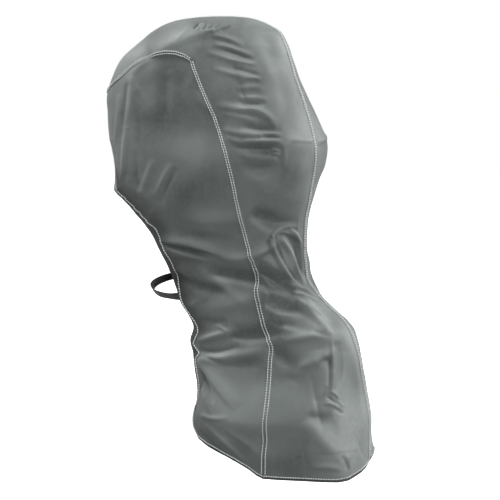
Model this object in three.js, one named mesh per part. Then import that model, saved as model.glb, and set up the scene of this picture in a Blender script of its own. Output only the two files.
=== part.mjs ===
// Outboard motor cover: a full-length cloth cover that hangs from the top of a tilted motor.
//
// Millimetres, +Z up, +X aft (away from the boat), +Y to starboard. The origin is on the inner
// face of the top, at the middle plane, where the motor's cowl carries the cover.
//
// Four cloth panels and a webbing strap. The two front side panels reach from the arched seam
// at the cowl down to the bottom, and their free front edges are hemmed. The two top and back
// panels run from the front tip over the top and down the back, and meet in the centre seam.
// The strap loops across the open front.
import * as THREE from 'three';

// Driving sizes.
const SHEET = 2; // coated cloth with the slack it hangs in
const HEM_THICKNESS = 3; // the turned edge
const HEM_DEPTH = 14;
const SEAM_GAP = 0.3; // clearance between neighbouring panels
const FREE_EDGE_TOP = 395; // the front seam ends and the open front begins this far down
const BOTTOM = 1478;
const ARCH_CORNER = 135; // where the arched seam meets the side seam, down from the top
const CLOTH_GREY = 0x7b8280;
const WEBBING_BLACK = 0x17181a;

const STRAP_WIDTH = 25;
const STRAP_THICKNESS = 2;
const STRAP_CLEARANCE = 1.5; // between the strap's sewn ends and the cloth that they lie on
const STRAP_LEAN = 0.6; // how far the webbing's upper edge leans out, as a share of its rise

// Level sections through the cover, from the top down. down is the depth below the top; front,
// seam and back are the section's x at the front, the side seam (its widest line) and the back;
// half is half its width; the last two are the squareness of its front and back halves, where 2
// is an ellipse. In the open part front is where the section would close if it went on.
const SECTION_COLUMNS = ['down', 'front', 'seam', 'back', 'half', 'frontSquare', 'backSquare'];
const SECTIONS = [
  [0, 8, 8, 8, 0, 2.0, 2.0],
  [1.5, -42, 6, 62, 50, 2.0, 2.0],
  [6, -98, 3, 106, 92, 2.0, 2.0],
  [20, -170, -3, 156, 134, 2.0, 2.0],
  [45, -220, -12, 202, 163, 2.0, 2.0],
  [85, -278, -16, 226, 184, 2.0, 2.0],
  [135, -342, -13, 244, 198, 1.9, 2.0],
  [195, -378, 13, 263, 208, 1.8, 2.1],
  [255, -400, 42, 286, 214, 1.75, 2.3],
  [315, -394, 72, 306, 218, 2.0, 2.8],
  [365, -388, 92, 321, 220, 2.2, 3.4],
  [410, -381, 109, 330, 220, 2.3, 4.2],
  [470, -372, 124, 330, 216, 2.4, 4.0],
  [530, -380, 136, 320, 208, 2.5, 2.6],
  [590, -408, 145, 310, 198, 2.6, 2.0],
  [640, -372, 153, 300, 187, 2.8, 1.8],
  [695, -296, 164, 296, 175, 3.1, 1.7],
  [750, -250, 177, 295, 166, 3.5, 1.7],
  [800, -218, 189, 300, 159, 3.8, 2.0],
  [845, -194, 191, 308, 155, 4.0, 1.9],
  [885, -173, 194, 338, 151, 4.0, 1.5],
  [925, -155, 201, 379, 150, 4.0, 1.5],
  [960, -126, 209, 421, 150, 4.0, 1.7],
  [1000, -105, 218, 452, 151, 4.0, 2.7],
  [1040, -122, 237, 470, 153, 4.0, 2.5],
  [1090, -110, 238, 485, 155, 4.0, 2.2],
  [1160, -100, 238, 496, 157, 4.0, 2.2],
  [1240, -89, 238, 508, 159, 4.0, 2.2],
  [1320, -90, 230, 520, 160, 4.0, 2.2],
  [1400, -98, 222, 528, 161, 4.0, 2.2],
  [1478, -98, 216, 537, 162, 4.0, 2.9],
];

// Angles go round a section from 0 at the front to 90 at the side seam and 180 at the back.
// The arched seam over the cowl's front shoulder: angle, depth.
const ARCH_SEAM = [
  [0, 255], [15, 232], [33, 190], [45, 157], [55, 136], [65, 120], [73, 113], [80, 114], [86, 122],
  [90, ARCH_CORNER],
];
// The free front edge: depth, angle.
const FREE_EDGE = [
  [FREE_EDGE_TOP, 0], [410, 6], [445, 14], [480, 21], [520, 28], [560, 36], [590, 42], [620, 45],
  [660, 47], [720, 47.5], [BOTTOM, 47.5],
];
// The bottom hem isn't level: angle, rise above the lowest point. The starboard hem is drawn up
// higher towards the back.
const PORT_RISE = [
  [47.5, 155], [49, 136], [51, 114], [56.8, 92], [64.3, 71], [73.1, 50], [81, 28], [86, 10],
  [90, 2], [100, 3], [112, 6], [125, 8], [134, 11], [141, 20], [149, 40], [160, 64], [180, 97],
];
const STARBOARD_RISE = [
  [47.5, 155], [49, 136], [51, 114], [56.8, 92], [64.3, 71], [73.1, 50], [81, 28], [86, 12],
  [90, 5], [100, 8], [112, 18], [125, 36], [134, 52], [141, 64], [149, 88], [160, 102], [180, 97],
];
const RISE_STARTS = 1050; // the rows begin to follow the bottom hem at this depth
const RISE_POWER = 1.5;

// Main folds. Places are as the eye sees the panel from off the quarter, a little from above:
// across is aft of the mount and down is below it, and the starboard side is seen in a mirror.
// Each fold runs through three points. height is outwards, so a trough is negative. left and
// right are its half widths on either hand of its way.
const EYE = {
  azimuth: THREE.MathUtils.degToRad(22),
  rise: THREE.MathUtils.degToRad(7),
  distance: 6500,
  aim: new THREE.Vector3(106, 0, -755),
  mountAcross: -96.5,
  mountDown: -763.5,
};
const FOLD_COLUMNS = ['x0', 'down0', 'x1', 'down1', 'x2', 'down2', 'height', 'left', 'right'];
const PORT_FOLDS = [
  [-200, 730, -85, 740, 40, 770, 9, 14, 9],
  [-190, 745, -105, 775, 5, 795, -8, 9, 14],
  [65, 770, 135, 735, 210, 690, 6, 10, 10],
  [-15, 805, 50, 815, 125, 830, -6, 12, 12],
  [-85, 820, -35, 855, 15, 890, 5, 16, 16],
  [-140, 870, -60, 885, 25, 905, -7, 14, 12],
  [-50, 905, 25, 920, 115, 915, 6, 18, 14],
  [55, 1000, 95, 1020, 135, 1045, -6, 16, 12],
  [-75, 1050, -30, 1040, 25, 1020, 6, 10, 10],
  [-75, 1075, -20, 1075, 40, 1065, -7, 9, 9],
  [-75, 1095, 30, 1085, 135, 1050, 6, 10, 12],
  [195, 720, 205, 790, 250, 875, 6, 8, 8],
  [115, 830, 170, 850, 220, 865, -8, 14, 12],
  [220, 870, 310, 920, 410, 990, 8, 14, 10],
  [265, 935, 315, 975, 365, 1010, 7, 9, 7],
  [245, 945, 300, 1000, 350, 1035, -8, 10, 10],
  [215, 1035, 275, 1020, 345, 1010, 6, 9, 9],
  [260, 1060, 300, 1050, 340, 1040, -5, 8, 8],
  [360, 1030, 360, 1140, 360, 1260, 6, 14, 7],
  [295, 1290, 325, 1295, 370, 1285, -6, 8, 8],
  [-65, 1130, -30, 1205, 65, 1270, 5, 14, 14],
  [-45, 1255, 30, 1305, 140, 1350, -6, 20, 16],
  [180, 1335, 260, 1380, 325, 1400, -5, 25, 25],
  [-55, 85, 25, 105, 105, 150, 5, 8, 8],
  [0, 65, 55, 95, 110, 130, -7, 9, 7],
  [5, 320, 115, 330, 200, 380, -7, 8, 7],
  [205, 405, 255, 405, 305, 410, 5, 14, 8],
  [100, 75, 135, 225, 205, 405, 5, 25, 10],
  [-200, 180, -195, 255, -210, 345, -8, 14, 14],
  [-235, 405, -115, 395, 15, 430, 6, 25, 25],
  [-120, 495, -180, 575, -230, 680, 6, 9, 9],
  [25, 495, -100, 550, -200, 720, -9, 16, 16],
  [-320, 560, -280, 600, -235, 645, -8, 14, 10],
  [50, 550, -50, 615, -100, 700, 5, 22, 22],
];
const STARBOARD_FOLDS = [
  [-205, 705, -100, 725, 20, 765, 8, 13, 9],
  [-185, 730, -80, 760, 30, 775, -7, 9, 13],
  [50, 755, 125, 750, 220, 720, 5, 10, 10],
  [-50, 805, 30, 830, 135, 820, -6, 13, 12],
  [-130, 850, -50, 875, 50, 880, 6, 16, 12],
  [-120, 895, -30, 920, 85, 925, -7, 12, 14],
  [-20, 975, 65, 985, 135, 1010, -5, 14, 12],
  [-80, 1025, -15, 1040, 65, 1025, 6, 10, 10],
  [-75, 1060, 0, 1070, 85, 1050, -6, 10, 10],
  [-65, 1095, 40, 1105, 135, 1075, 5, 12, 12],
  [180, 730, 200, 805, 240, 890, 5, 8, 8],
  [135, 840, 180, 860, 235, 875, -7, 13, 12],
  [215, 860, 300, 905, 390, 985, 8, 14, 10],
  [245, 925, 300, 980, 350, 1040, -8, 10, 10],
  [260, 915, 320, 960, 370, 1020, 6, 9, 7],
  [360, 1045, 370, 1150, 365, 1285, 6, 14, 8],
  [280, 1265, 325, 1285, 380, 1275, -6, 8, 8],
  [-60, 1160, -20, 1240, 85, 1315, 5, 14, 14],
  [-40, 1280, 40, 1335, 150, 1370, -6, 18, 16],
  [190, 1315, 260, 1350, 330, 1370, -5, 24, 24],
  [-40, 75, 40, 110, 110, 160, 5, 8, 8],
  [10, 90, 65, 125, 115, 175, -6, 9, 7],
  [10, 340, 110, 350, 195, 390, -6, 9, 8],
  [105, 85, 135, 235, 205, 415, 5, 25, 10],
  [205, 415, 255, 415, 305, 415, 5, 14, 8],
  [-185, 195, -180, 275, -200, 365, -7, 14, 14],
  [-245, 425, -115, 410, 20, 445, 6, 25, 25],
  [-100, 490, -165, 575, -215, 685, 6, 10, 10],
  [30, 515, -85, 565, -185, 730, -8, 16, 16],
  [-315, 565, -275, 605, -230, 650, -7, 13, 10],
];
const NARROWEST_FOLD = 15; // half width; anything finer is below the size of these faces
const FOLD_SHARE = 0.85; // a widened fold is drawn this much shallower
const FOLD_STEPS = 12;
const FOLD_REACH = 3; // half widths past which a fold no longer counts
const FOLD_TAPER = 0.6;
const FLAT_AT_MIDDLE = 45; // folds fade out over this distance from the centre seams

// Where the rows of faces lie: down to each depth, a row every so far.
const ROW_BANDS = [
  { until: 350, step: 31 },
  { until: 470, step: 17 },
  { until: 690, step: 30 },
  { until: 1090, step: 16 },
  { until: BOTTOM - HEM_DEPTH, step: 32 },
];
const ARCH_EASES = 330; // rows below the arch are level again after this distance
const CAP_RINGS = 11;
// Columns as shares of the way from the front edge to the side seam, and from there to the back.
const FRONT_COLUMNS = [0, 0.045, 0.1, 0.18, 0.28, 0.38, 0.48, 0.58, 0.69, 0.8, 0.9, 1];
const BACK_COLUMNS = [0, 0.1, 0.2, 0.29, 0.37, 0.44, 0.51, 0.58, 0.66, 0.77, 0.88, 1];

const SIDE_SEAM = Math.PI / 2;
const BACK_SEAM = Math.PI;

// Straight-line reading of a table of pairs.
function lookUp(pairs, at) {
  const next = pairs.findIndex(([key]) => key >= at);
  if (next === 0) return pairs[0][1];
  if (next < 0) return pairs[pairs.length - 1][1];
  const [x0, y0] = pairs[next - 1];
  const [x1, y1] = pairs[next];
  return y0 + ((y1 - y0) * (at - x0)) / (x1 - x0);
}

function smooth(share) {
  const s = THREE.MathUtils.clamp(share, 0, 1);
  return s * s * (3 - 2 * s);
}

// The sections are joined by a curve through each column. It is measured by the way travelled
// down the cloth, and passes evenly over the top, where the section is a point.
const knots = [0];
for (let i = 1; i < SECTIONS.length; i += 1) {
  const change = SECTIONS[i].map((value, column) => value - SECTIONS[i - 1][column]);
  const [down, front, , back, half] = change;
  knots.push(knots[i - 1] + Math.sqrt(down ** 2 + front ** 2 / 4 + back ** 2 / 4 + half ** 2 / 2));
}
const rows = SECTIONS.map((row) => [...row]);
const mirrored = rows[1].map((value, column) => (
  column >= 1 && column <= 4 ? 2 * rows[0][column] - value : value
));
rows.unshift(mirrored);
knots.unshift(-knots[1]);
const END = knots[knots.length - 1];

const slopes = rows.map((row, i) => row.map((value, column) => {
  if (i === 0) return (rows[1][column] - value) / (knots[1] - knots[0]);
  const before = (value - rows[i - 1][column]) / (knots[i] - knots[i - 1]);
  if (i === rows.length - 1) return before;
  const after = (rows[i + 1][column] - value) / (knots[i + 1] - knots[i]);
  const [h0, h1] = [knots[i] - knots[i - 1], knots[i + 1] - knots[i]];
  return (h1 * before + h0 * after) / (h0 + h1);
}));

function sectionAt(way) {
  let i = 0;
  while (i < knots.length - 2 && knots[i + 1] <= way) i += 1;
  const h = knots[i + 1] - knots[i];
  const s = (way - knots[i]) / h;
  const section = {};
  SECTION_COLUMNS.forEach((name, column) => {
    section[name] = (1 + 2 * s) * (1 - s) ** 2 * rows[i][column]
      + s * (1 - s) ** 2 * h * slopes[i][column]
      + s * s * (3 - 2 * s) * rows[i + 1][column]
      + s * s * (s - 1) * h * slopes[i + 1][column];
  });
  return section;
}

// The way travelled when the section is a given depth down.
function wayTo(down) {
  let [low, high] = [0, END];
  for (let i = 0; i < 40; i += 1) {
    const middle = (low + high) / 2;
    if (sectionAt(middle).down < down) low = middle;
    else high = middle;
  }
  return (low + high) / 2;
}

// A point of the smooth cover, on the port side of it: a superellipse section, the rows near
// the bottom lifted to follow the hem. A flank is one side of the cover with its own hem and
// folds, and the starboard one is turned over at the end.
function place(way, angle, flank) {
  const { down, front, seam, back, half, frontSquare, backSquare } = sectionAt(way);
  const [c, s] = [Math.cos(angle), Math.sin(angle)];
  const square = c > 0 ? frontSquare : backSquare;
  const out = (Math.abs(c) ** square + Math.abs(s) ** square) ** (-1 / square);
  const reach = c > 0 ? seam - front : back - seam;
  const share = Math.max(0, (down - RISE_STARTS) / (BOTTOM - RISE_STARTS)) ** RISE_POWER;
  const rise = lookUp(flank.rise, THREE.MathUtils.radToDeg(Math.abs(angle))) * share;
  return new THREE.Vector3(seam - reach * c * out, -half * s * out, SHEET - down + rise);
}

function alongWay(way, angle, flank) {
  const step = 0.5;
  return place(way + step, angle, flank).sub(place(way - step, angle, flank)).normalize();
}

function aroundSection(way, angle, flank) {
  const step = 0.004;
  return place(way, angle + step, flank).sub(place(way, angle - step, flank)).normalize();
}

function outwards(way, angle, flank) {
  if (way <= 0) return new THREE.Vector3(0, 0, 1);
  return alongWay(way, angle, flank).cross(aroundSection(way, angle, flank)).normalize();
}

// Where the eye sees a point of the port side.
const eyeRight = new THREE.Vector3(Math.cos(EYE.azimuth), Math.sin(EYE.azimuth), 0);
const eyeBack = new THREE.Vector3(
  Math.sin(EYE.azimuth) * Math.cos(EYE.rise),
  -Math.cos(EYE.azimuth) * Math.cos(EYE.rise),
  Math.sin(EYE.rise),
);
const eyeUp = new THREE.Vector3().crossVectors(eyeBack, eyeRight);
const eyePoint = EYE.aim.clone().addScaledVector(eyeBack, EYE.distance);

function seenAt(point) {
  const ray = point.clone().sub(eyePoint);
  const scale = EYE.distance / -ray.dot(eyeBack);
  return new THREE.Vector2(
    ray.dot(eyeRight) * scale - EYE.mountAcross,
    -ray.dot(eyeUp) * scale - EYE.mountDown,
  );
}

function foldFrom(row) {
  const fold = Object.fromEntries(FOLD_COLUMNS.map((name, column) => [name, row[column]]));
  const start = new THREE.Vector2(fold.x0, fold.down0);
  const middle = new THREE.Vector2(fold.x1, fold.down1);
  const end = new THREE.Vector2(fold.x2, fold.down2);
  const pull = middle.clone().multiplyScalar(2).sub(start.clone().add(end).multiplyScalar(0.5));
  fold.line = new THREE.QuadraticBezierCurve(start, pull, end).getPoints(FOLD_STEPS);
  fold.left = Math.max(fold.left, NARROWEST_FOLD);
  fold.right = Math.max(fold.right, NARROWEST_FOLD);
  return fold;
}

// A fold is a bell-shaped rise across its line, which fades in and out along it.
function riseOf(fold, seen) {
  let nearest = { distance: Infinity, side: 0, share: 0 };
  for (let i = 0; i < FOLD_STEPS; i += 1) {
    const [a, b] = [fold.line[i], fold.line[i + 1]];
    const step = b.clone().sub(a);
    const from = seen.clone().sub(a);
    const along = THREE.MathUtils.clamp(from.dot(step) / step.lengthSq(), 0, 1);
    const off = from.addScaledVector(step, -along);
    if (off.length() < nearest.distance) {
      nearest = { distance: off.length(), side: step.cross(off), share: (i + along) / FOLD_STEPS };
    }
  }
  const width = nearest.side > 0 ? fold.right : fold.left;
  if (nearest.distance > FOLD_REACH * width || nearest.share <= 0 || nearest.share >= 1) return 0;
  const taper = Math.sin(Math.PI * nearest.share) ** FOLD_TAPER;
  return FOLD_SHARE * fold.height * taper * Math.exp(-((nearest.distance / width) ** 2));
}

function foldedPlace(way, angle, flank) {
  const point = place(way, angle, flank);
  const fade = smooth(-point.y / FLAT_AT_MIDDLE);
  if (fade === 0) return point;
  const seen = seenAt(point);
  const height = flank.folds.reduce((sum, fold) => sum + riseOf(fold, seen), 0);
  return point.addScaledVector(outwards(way, angle, flank), height * fade);
}

const PORT = { name: 'port', side: -1, rise: PORT_RISE, folds: PORT_FOLDS.map(foldFrom) };
const STARBOARD = {
  name: 'starboard', side: 1, rise: STARBOARD_RISE, folds: STARBOARD_FOLDS.map(foldFrom),
};

// One sample of a panel: its outer and inner point. shift moves it off a seam.
function sample(way, angle, flank, thickness, shift = {}) {
  const outer = foldedPlace(way + (shift.down ?? 0), angle, flank);
  outer.addScaledVector(aroundSection(way, angle, flank), shift.around ?? 0);
  outer.y += shift.aside ?? 0;
  const inner = outer.clone().addScaledVector(outwards(way, angle, flank), -thickness);
  return { outer, inner };
}

// A closed sheet from samples and the triangles of its outer face: the inner face is the same
// the other way round, and a rim joins the two along every edge that only one triangle uses.
function sheetGeometry(samples, triangles, { side }) {
  const faces = side < 0 ? triangles : triangles.map(([a, b, c]) => [a, c, b]);
  const count = samples.length;
  const edges = new Set(faces.flatMap(([a, b, c]) => [`${a} ${b}`, `${b} ${c}`, `${c} ${a}`]));
  const all = [...faces, ...faces.map(([a, b, c]) => [c + count, b + count, a + count])];
  edges.forEach((edge) => {
    const [a, b] = edge.split(' ').map(Number);
    if (!edges.has(`${b} ${a}`)) all.push([b, a, a + count], [b, a + count, b + count]);
  });
  const points = [...samples.map(({ outer }) => outer), ...samples.map(({ inner }) => inner)];
  const geometry = new THREE.BufferGeometry();
  const coordinates = points.flatMap(({ x, y, z }) => [x, side < 0 ? y : -y, z]);
  geometry.setAttribute('position', new THREE.Float32BufferAttribute(coordinates, 3));
  geometry.setIndex(all.flat());
  geometry.computeVertexNormals();
  return geometry;
}

// The triangles of a grid of sample numbers. Each face is cut on its shorter diagonal.
function gridTriangles(grid, samples) {
  const triangles = [];
  for (let i = 0; i + 1 < grid.length; i += 1) {
    for (let j = 0; j + 1 < grid[i].length; j += 1) {
      const [a, b, c, d] = [grid[i][j], grid[i + 1][j], grid[i + 1][j + 1], grid[i][j + 1]];
      const gap = (p, q) => samples[p].outer.distanceTo(samples[q].outer);
      const cut = gap(a, c) <= gap(b, d) ? [[a, b, c], [a, c, d]] : [[a, b, d], [b, c, d]];
      triangles.push(...cut.filter(([p, q, r]) => p !== q && q !== r && r !== p));
    }
  }
  return triangles;
}

// Depths of the rows below the arch's corner.
function rowDepths() {
  const depths = [ARCH_CORNER];
  ROW_BANDS.forEach(({ until, step }) => {
    const start = depths[depths.length - 1];
    const count = Math.max(1, Math.round((until - start) / step));
    for (let i = 1; i <= count; i += 1) depths.push(start + ((until - start) * i) / count);
  });
  depths.push(BOTTOM);
  return depths;
}
const rowWays = rowDepths().map(wayTo);
const cornerWay = rowWays[0];

function archWay(angle) {
  return wayTo(lookUp(ARCH_SEAM, THREE.MathUtils.radToDeg(angle)));
}

function freeEdgeAngle(way) {
  return THREE.MathUtils.degToRad(lookUp(FREE_EDGE, sectionAt(way).down));
}

function frontSideGeometry(flank) {
  const samples = [];
  const lastRow = rowWays.length - 1;
  const lastColumn = FRONT_COLUMNS.length - 1;
  const grid = rowWays.map((rowWay, i) => FRONT_COLUMNS.map((share, j) => {
    const ease = Math.max(0, 1 - (rowWay - cornerWay) / ARCH_EASES);
    const way = rowWay + (archWay(share * SIDE_SEAM) - cornerWay) * ease;
    const edge = freeEdgeAngle(way);
    const angle = edge + (SIDE_SEAM - edge) * share;
    const turned = (j <= 1 && edge > 0) || i >= lastRow - 1;
    const shift = {
      down: i === 0 ? SEAM_GAP / 2 : 0,
      around: j === lastColumn ? -SEAM_GAP / 2 : 0,
      aside: angle === 0 ? -SEAM_GAP / 2 : 0,
    };
    samples.push(sample(way, angle, flank, turned ? HEM_THICKNESS : SHEET, shift));
    return samples.length - 1;
  }));
  return sheetGeometry(samples, gridTriangles(grid, samples), flank);
}

function topAndBackGeometry(flank) {
  const samples = [];
  const add = (...details) => samples.push(sample(...details)) - 1;
  const aside = -SEAM_GAP / 2;
  const pole = add(0, BACK_SEAM, flank, SHEET, { aside });
  const angles = [
    ...FRONT_COLUMNS.map((share) => share * SIDE_SEAM),
    ...BACK_COLUMNS.slice(1).map((share) => SIDE_SEAM + share * (BACK_SEAM - SIDE_SEAM)),
  ];
  const seamColumn = FRONT_COLUMNS.length - 1;
  const cap = [angles.map(() => pole)];
  for (let ring = 1; ring <= CAP_RINGS; ring += 1) {
    const last = ring === CAP_RINGS;
    cap.push(angles.map((angle, j) => {
      const rim = j < seamColumn ? archWay(angle) : cornerWay;
      const shift = {
        down: last && j <= seamColumn ? -SEAM_GAP / 2 : 0,
        around: last && j === seamColumn ? SEAM_GAP / 2 : 0,
        aside: angle === 0 || angle === BACK_SEAM ? aside : 0,
      };
      return add((rim * ring) / CAP_RINGS, angle, flank, SHEET, shift);
    }));
  }
  const back = [cap[CAP_RINGS].slice(seamColumn)];
  rowWays.slice(1).forEach((way, i) => {
    const turned = i >= rowWays.length - 3;
    back.push(BACK_COLUMNS.map((share) => {
      const angle = SIDE_SEAM + share * (BACK_SEAM - SIDE_SEAM);
      const shift = {
        around: share === 0 ? SEAM_GAP / 2 : 0,
        aside: share === 1 ? aside : 0,
      };
      return add(way, angle, flank, turned ? HEM_THICKNESS : SHEET, shift);
    }));
  });
  const triangles = [...gridTriangles(cap, samples), ...gridTriangles(back, samples)];
  return sheetGeometry(samples, triangles, flank);
}

// The strap's route: sewn end inside the port hem, a bow across the front, and the other end
// higher up inside the starboard hem.
const STRAP_ENDS = [
  { flank: PORT, depth: 905 },
  { flank: STARBOARD, depth: 857 },
];
const STRAP_END_ANGLES = [66, 60, 54, 48.5]; // from the sewn end out to the edge of the cloth
const STRAP_BOW = [
  [-128, -113, -905], [-180, -94, -902], [-221, -54, -893], [-237, 2, -882],
  [-223, 56, -871], [-188, 92, -862], [-146, 109, -857],
];
const STRAP_BOW_CENTRE = -66; // the webbing's face looks away from this x, on the middle plane
const STRAP_STEPS = 40;

function strapEnd({ flank, depth }) {
  const depthIn = HEM_THICKNESS + STRAP_CLEARANCE + STRAP_THICKNESS / 2;
  return STRAP_END_ANGLES.map((degrees) => {
    const angle = THREE.MathUtils.degToRad(degrees);
    const way = wayTo(depth);
    const above = foldedPlace(way - STRAP_WIDTH / 2, angle, flank);
    const below = foldedPlace(way + STRAP_WIDTH / 2, angle, flank);
    const lie = above.clone().sub(below).normalize();
    const point = above.add(below).multiplyScalar(0.5);
    point.addScaledVector(outwards(way, angle, flank), -depthIn);
    return {
      point: new THREE.Vector3(point.x, -flank.side * point.y, point.z),
      lie: new THREE.Vector3(lie.x, -flank.side * lie.y, lie.z),
    };
  });
}

function strapGeometry() {
  const [port, starboard] = STRAP_ENDS.map(strapEnd);
  const bow = STRAP_BOW.map(([x, y, z]) => {
    const out = new THREE.Vector3(x - STRAP_BOW_CENTRE, y, 0).normalize();
    const lie = new THREE.Vector3(out.x * STRAP_LEAN, out.y * STRAP_LEAN, 1).normalize();
    return { point: new THREE.Vector3(x, y, z), lie };
  });
  const stations = [...port, ...bow, ...starboard.reverse()];
  const route = new THREE.CatmullRomCurve3(stations.map(({ point }) => point), false, 'centripetal');
  const lies = new THREE.CatmullRomCurve3(stations.map(({ lie }) => lie), false, 'centripetal');
  const corners = [];
  for (let i = 0; i <= STRAP_STEPS; i += 1) {
    const at = i / STRAP_STEPS;
    const centre = route.getPoint(at);
    const tangent = route.getTangent(at);
    const through = tangent.clone().cross(lies.getPoint(at)).normalize();
    const across = through.clone().cross(tangent).normalize();
    [[1, 1], [1, -1], [-1, -1], [-1, 1]].forEach(([u, v]) => {
      corners.push(centre.clone()
        .addScaledVector(across, (u * STRAP_WIDTH) / 2)
        .addScaledVector(through, (v * STRAP_THICKNESS) / 2));
    });
  }
  const faces = [[0, 1, 2], [0, 2, 3]];
  for (let i = 0; i < STRAP_STEPS; i += 1) {
    for (let k = 0; k < 4; k += 1) {
      const [a, b] = [4 * i + k, 4 * i + ((k + 1) % 4)];
      faces.push([a, a + 4, b + 4], [a, b + 4, b]);
    }
  }
  const last = 4 * STRAP_STEPS;
  faces.push([last, last + 2, last + 1], [last, last + 3, last + 2]);
  const geometry = new THREE.BufferGeometry();
  const coordinates = corners.flatMap(({ x, y, z }) => [x, y, z]);
  geometry.setAttribute('position', new THREE.Float32BufferAttribute(coordinates, 3));
  geometry.setIndex(faces.flat());
  geometry.computeVertexNormals();
  return geometry;
}

const cloth = { color: CLOTH_GREY, roughness: 0.62, metalness: 0, flatShading: true };
const webbing = { color: WEBBING_BLACK, roughness: 0.75, metalness: 0 };

const group = new THREE.Group();
function addPiece(name, geometry, finish) {
  const mesh = new THREE.Mesh(geometry, new THREE.MeshStandardMaterial(finish));
  mesh.name = name;
  group.add(mesh);
}

[PORT, STARBOARD].forEach((flank) => {
  addPiece(`front_side_panel_${flank.name}`, frontSideGeometry(flank), cloth);
  addPiece(`top_and_back_panel_${flank.name}`, topAndBackGeometry(flank), cloth);
});
addPiece('front_strap', strapGeometry(), webbing);

export default group;
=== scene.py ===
import bmesh
import bpy
import numpy as np
from mathutils import Matrix


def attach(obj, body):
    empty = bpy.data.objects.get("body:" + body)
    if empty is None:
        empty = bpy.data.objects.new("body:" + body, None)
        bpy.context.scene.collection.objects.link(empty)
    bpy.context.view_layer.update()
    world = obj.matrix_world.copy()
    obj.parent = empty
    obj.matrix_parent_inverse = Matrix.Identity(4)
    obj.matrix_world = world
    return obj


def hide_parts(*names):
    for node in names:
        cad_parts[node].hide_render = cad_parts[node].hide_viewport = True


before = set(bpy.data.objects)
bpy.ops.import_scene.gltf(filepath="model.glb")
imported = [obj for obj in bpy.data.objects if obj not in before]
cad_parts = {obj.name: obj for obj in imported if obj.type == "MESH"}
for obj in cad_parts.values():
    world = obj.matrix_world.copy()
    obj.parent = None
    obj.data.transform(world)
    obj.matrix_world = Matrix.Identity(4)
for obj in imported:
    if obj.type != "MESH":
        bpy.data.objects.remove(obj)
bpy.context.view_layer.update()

bl_info = {
    "name": "Outboard Motor Cover",
    "version": (1, 0, 0),
    "blender": (4, 5, 0),
    "location": "View3D > Sidebar > Motor Cover",
    "description": "Builds a full-length cloth cover, sewn from four panels, with its strap",
    "category": "Add Mesh",
}

# Metres in Blender, millimetres in the tables. +Z up, +X aft, +Y to starboard. The origin is on
# the inner face of the top, where the cover is carried.
MM = 0.001
SEED = 11
TINY = 1e-9
MIRROR = np.array((1, -1, 1))

# Level sections, from the top down: the depth below the top; the section's x at the front, at
# the side seam (its widest line) and at the back; half its width; and the squareness of its
# front and back halves, where 2 is an ellipse. In the open part the x at the front is where the
# section would close if it went on.
SECTIONS = np.array([
    (0, 8, 8, 8, 0, 2.0, 2.0),
    (1.5, -42, 6, 62, 50, 2.0, 2.0),
    (6, -98, 3, 106, 92, 2.0, 2.0),
    (20, -170, -3, 156, 134, 2.0, 2.0),
    (45, -220, -12, 202, 163, 2.0, 2.0),
    (85, -278, -16, 226, 184, 2.0, 2.0),
    (135, -342, -13, 244, 198, 1.9, 2.0),
    (195, -378, 13, 263, 208, 1.8, 2.1),
    (255, -400, 42, 286, 214, 1.75, 2.3),
    (315, -394, 72, 306, 218, 2.0, 2.8),
    (365, -388, 92, 321, 220, 2.2, 3.4),
    (410, -381, 109, 330, 220, 2.3, 4.2),
    (470, -372, 124, 330, 216, 2.4, 4.0),
    (530, -380, 136, 320, 208, 2.5, 2.6),
    (590, -408, 145, 310, 198, 2.6, 2.0),
    (640, -372, 153, 300, 187, 2.8, 1.8),
    (695, -296, 164, 296, 175, 3.1, 1.7),
    (750, -250, 177, 295, 166, 3.5, 1.7),
    (800, -218, 189, 300, 159, 3.8, 2.0),
    (845, -194, 191, 308, 155, 4.0, 1.9),
    (885, -173, 194, 338, 151, 4.0, 1.5),
    (925, -155, 201, 379, 150, 4.0, 1.5),
    (960, -126, 209, 421, 150, 4.0, 1.7),
    (1000, -105, 218, 452, 151, 4.0, 2.7),
    (1040, -122, 237, 470, 153, 4.0, 2.5),
    (1090, -110, 238, 485, 155, 4.0, 2.2),
    (1160, -100, 238, 496, 157, 4.0, 2.2),
    (1240, -89, 238, 508, 159, 4.0, 2.2),
    (1320, -90, 230, 520, 160, 4.0, 2.2),
    (1400, -98, 222, 528, 161, 4.0, 2.2),
    (1478, -98, 216, 537, 162, 4.0, 2.9),
], float)
# How much a change in depth, front, back and width counts towards the way down the cloth, and
# the samples by which depths and ways are looked up.
WAY_SHARES = np.array((1.0, 0.25, 0.25, 0.5))
WAY_STEPS = 4001
# How much higher the outer face is than the origin, and the depths of the lowest point of the
# hem, of the corner where the arched seam meets the side seam, and of the top of the open
# front.
TOP = 2.0
BOTTOM = 1478.0
ARCH_CORNER = 135.0
FREE_EDGE_TOP = 395.0

# Angles go round a section from 0 at the front to 90 at the side seam and 180 at the back.
# The arched seam over the cowl's front shoulder: angle, depth.
ARCH_SEAM = np.array([
    (0, 255), (15, 232), (33, 190), (45, 157), (55, 136), (65, 120), (73, 113), (80, 114),
    (86, 122), (90, ARCH_CORNER),
], float)
# The free front edge: depth, angle.
FREE_EDGE = np.array([
    (FREE_EDGE_TOP, 0), (410, 6), (445, 14), (480, 21), (520, 28), (560, 36), (590, 42),
    (620, 45), (660, 47), (720, 47.5), (BOTTOM, 47.5),
], float)
# The bottom hem isn't level: angle, rise above the lowest point.
PORT_RISE = np.array([
    (47.5, 155), (49, 136), (51, 114), (56.8, 92), (64.3, 71), (73.1, 50), (81, 28), (86, 10),
    (90, 2), (100, 3), (112, 6), (125, 8), (134, 11), (141, 20), (149, 40), (160, 64),
    (180, 97),
], float)
STARBOARD_RISE = np.array([
    (47.5, 155), (49, 136), (51, 114), (56.8, 92), (64.3, 71), (73.1, 50), (81, 28), (86, 12),
    (90, 5), (100, 8), (112, 18), (125, 36), (134, 52), (141, 64), (149, 88), (160, 102),
    (180, 97),
], float)
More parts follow.
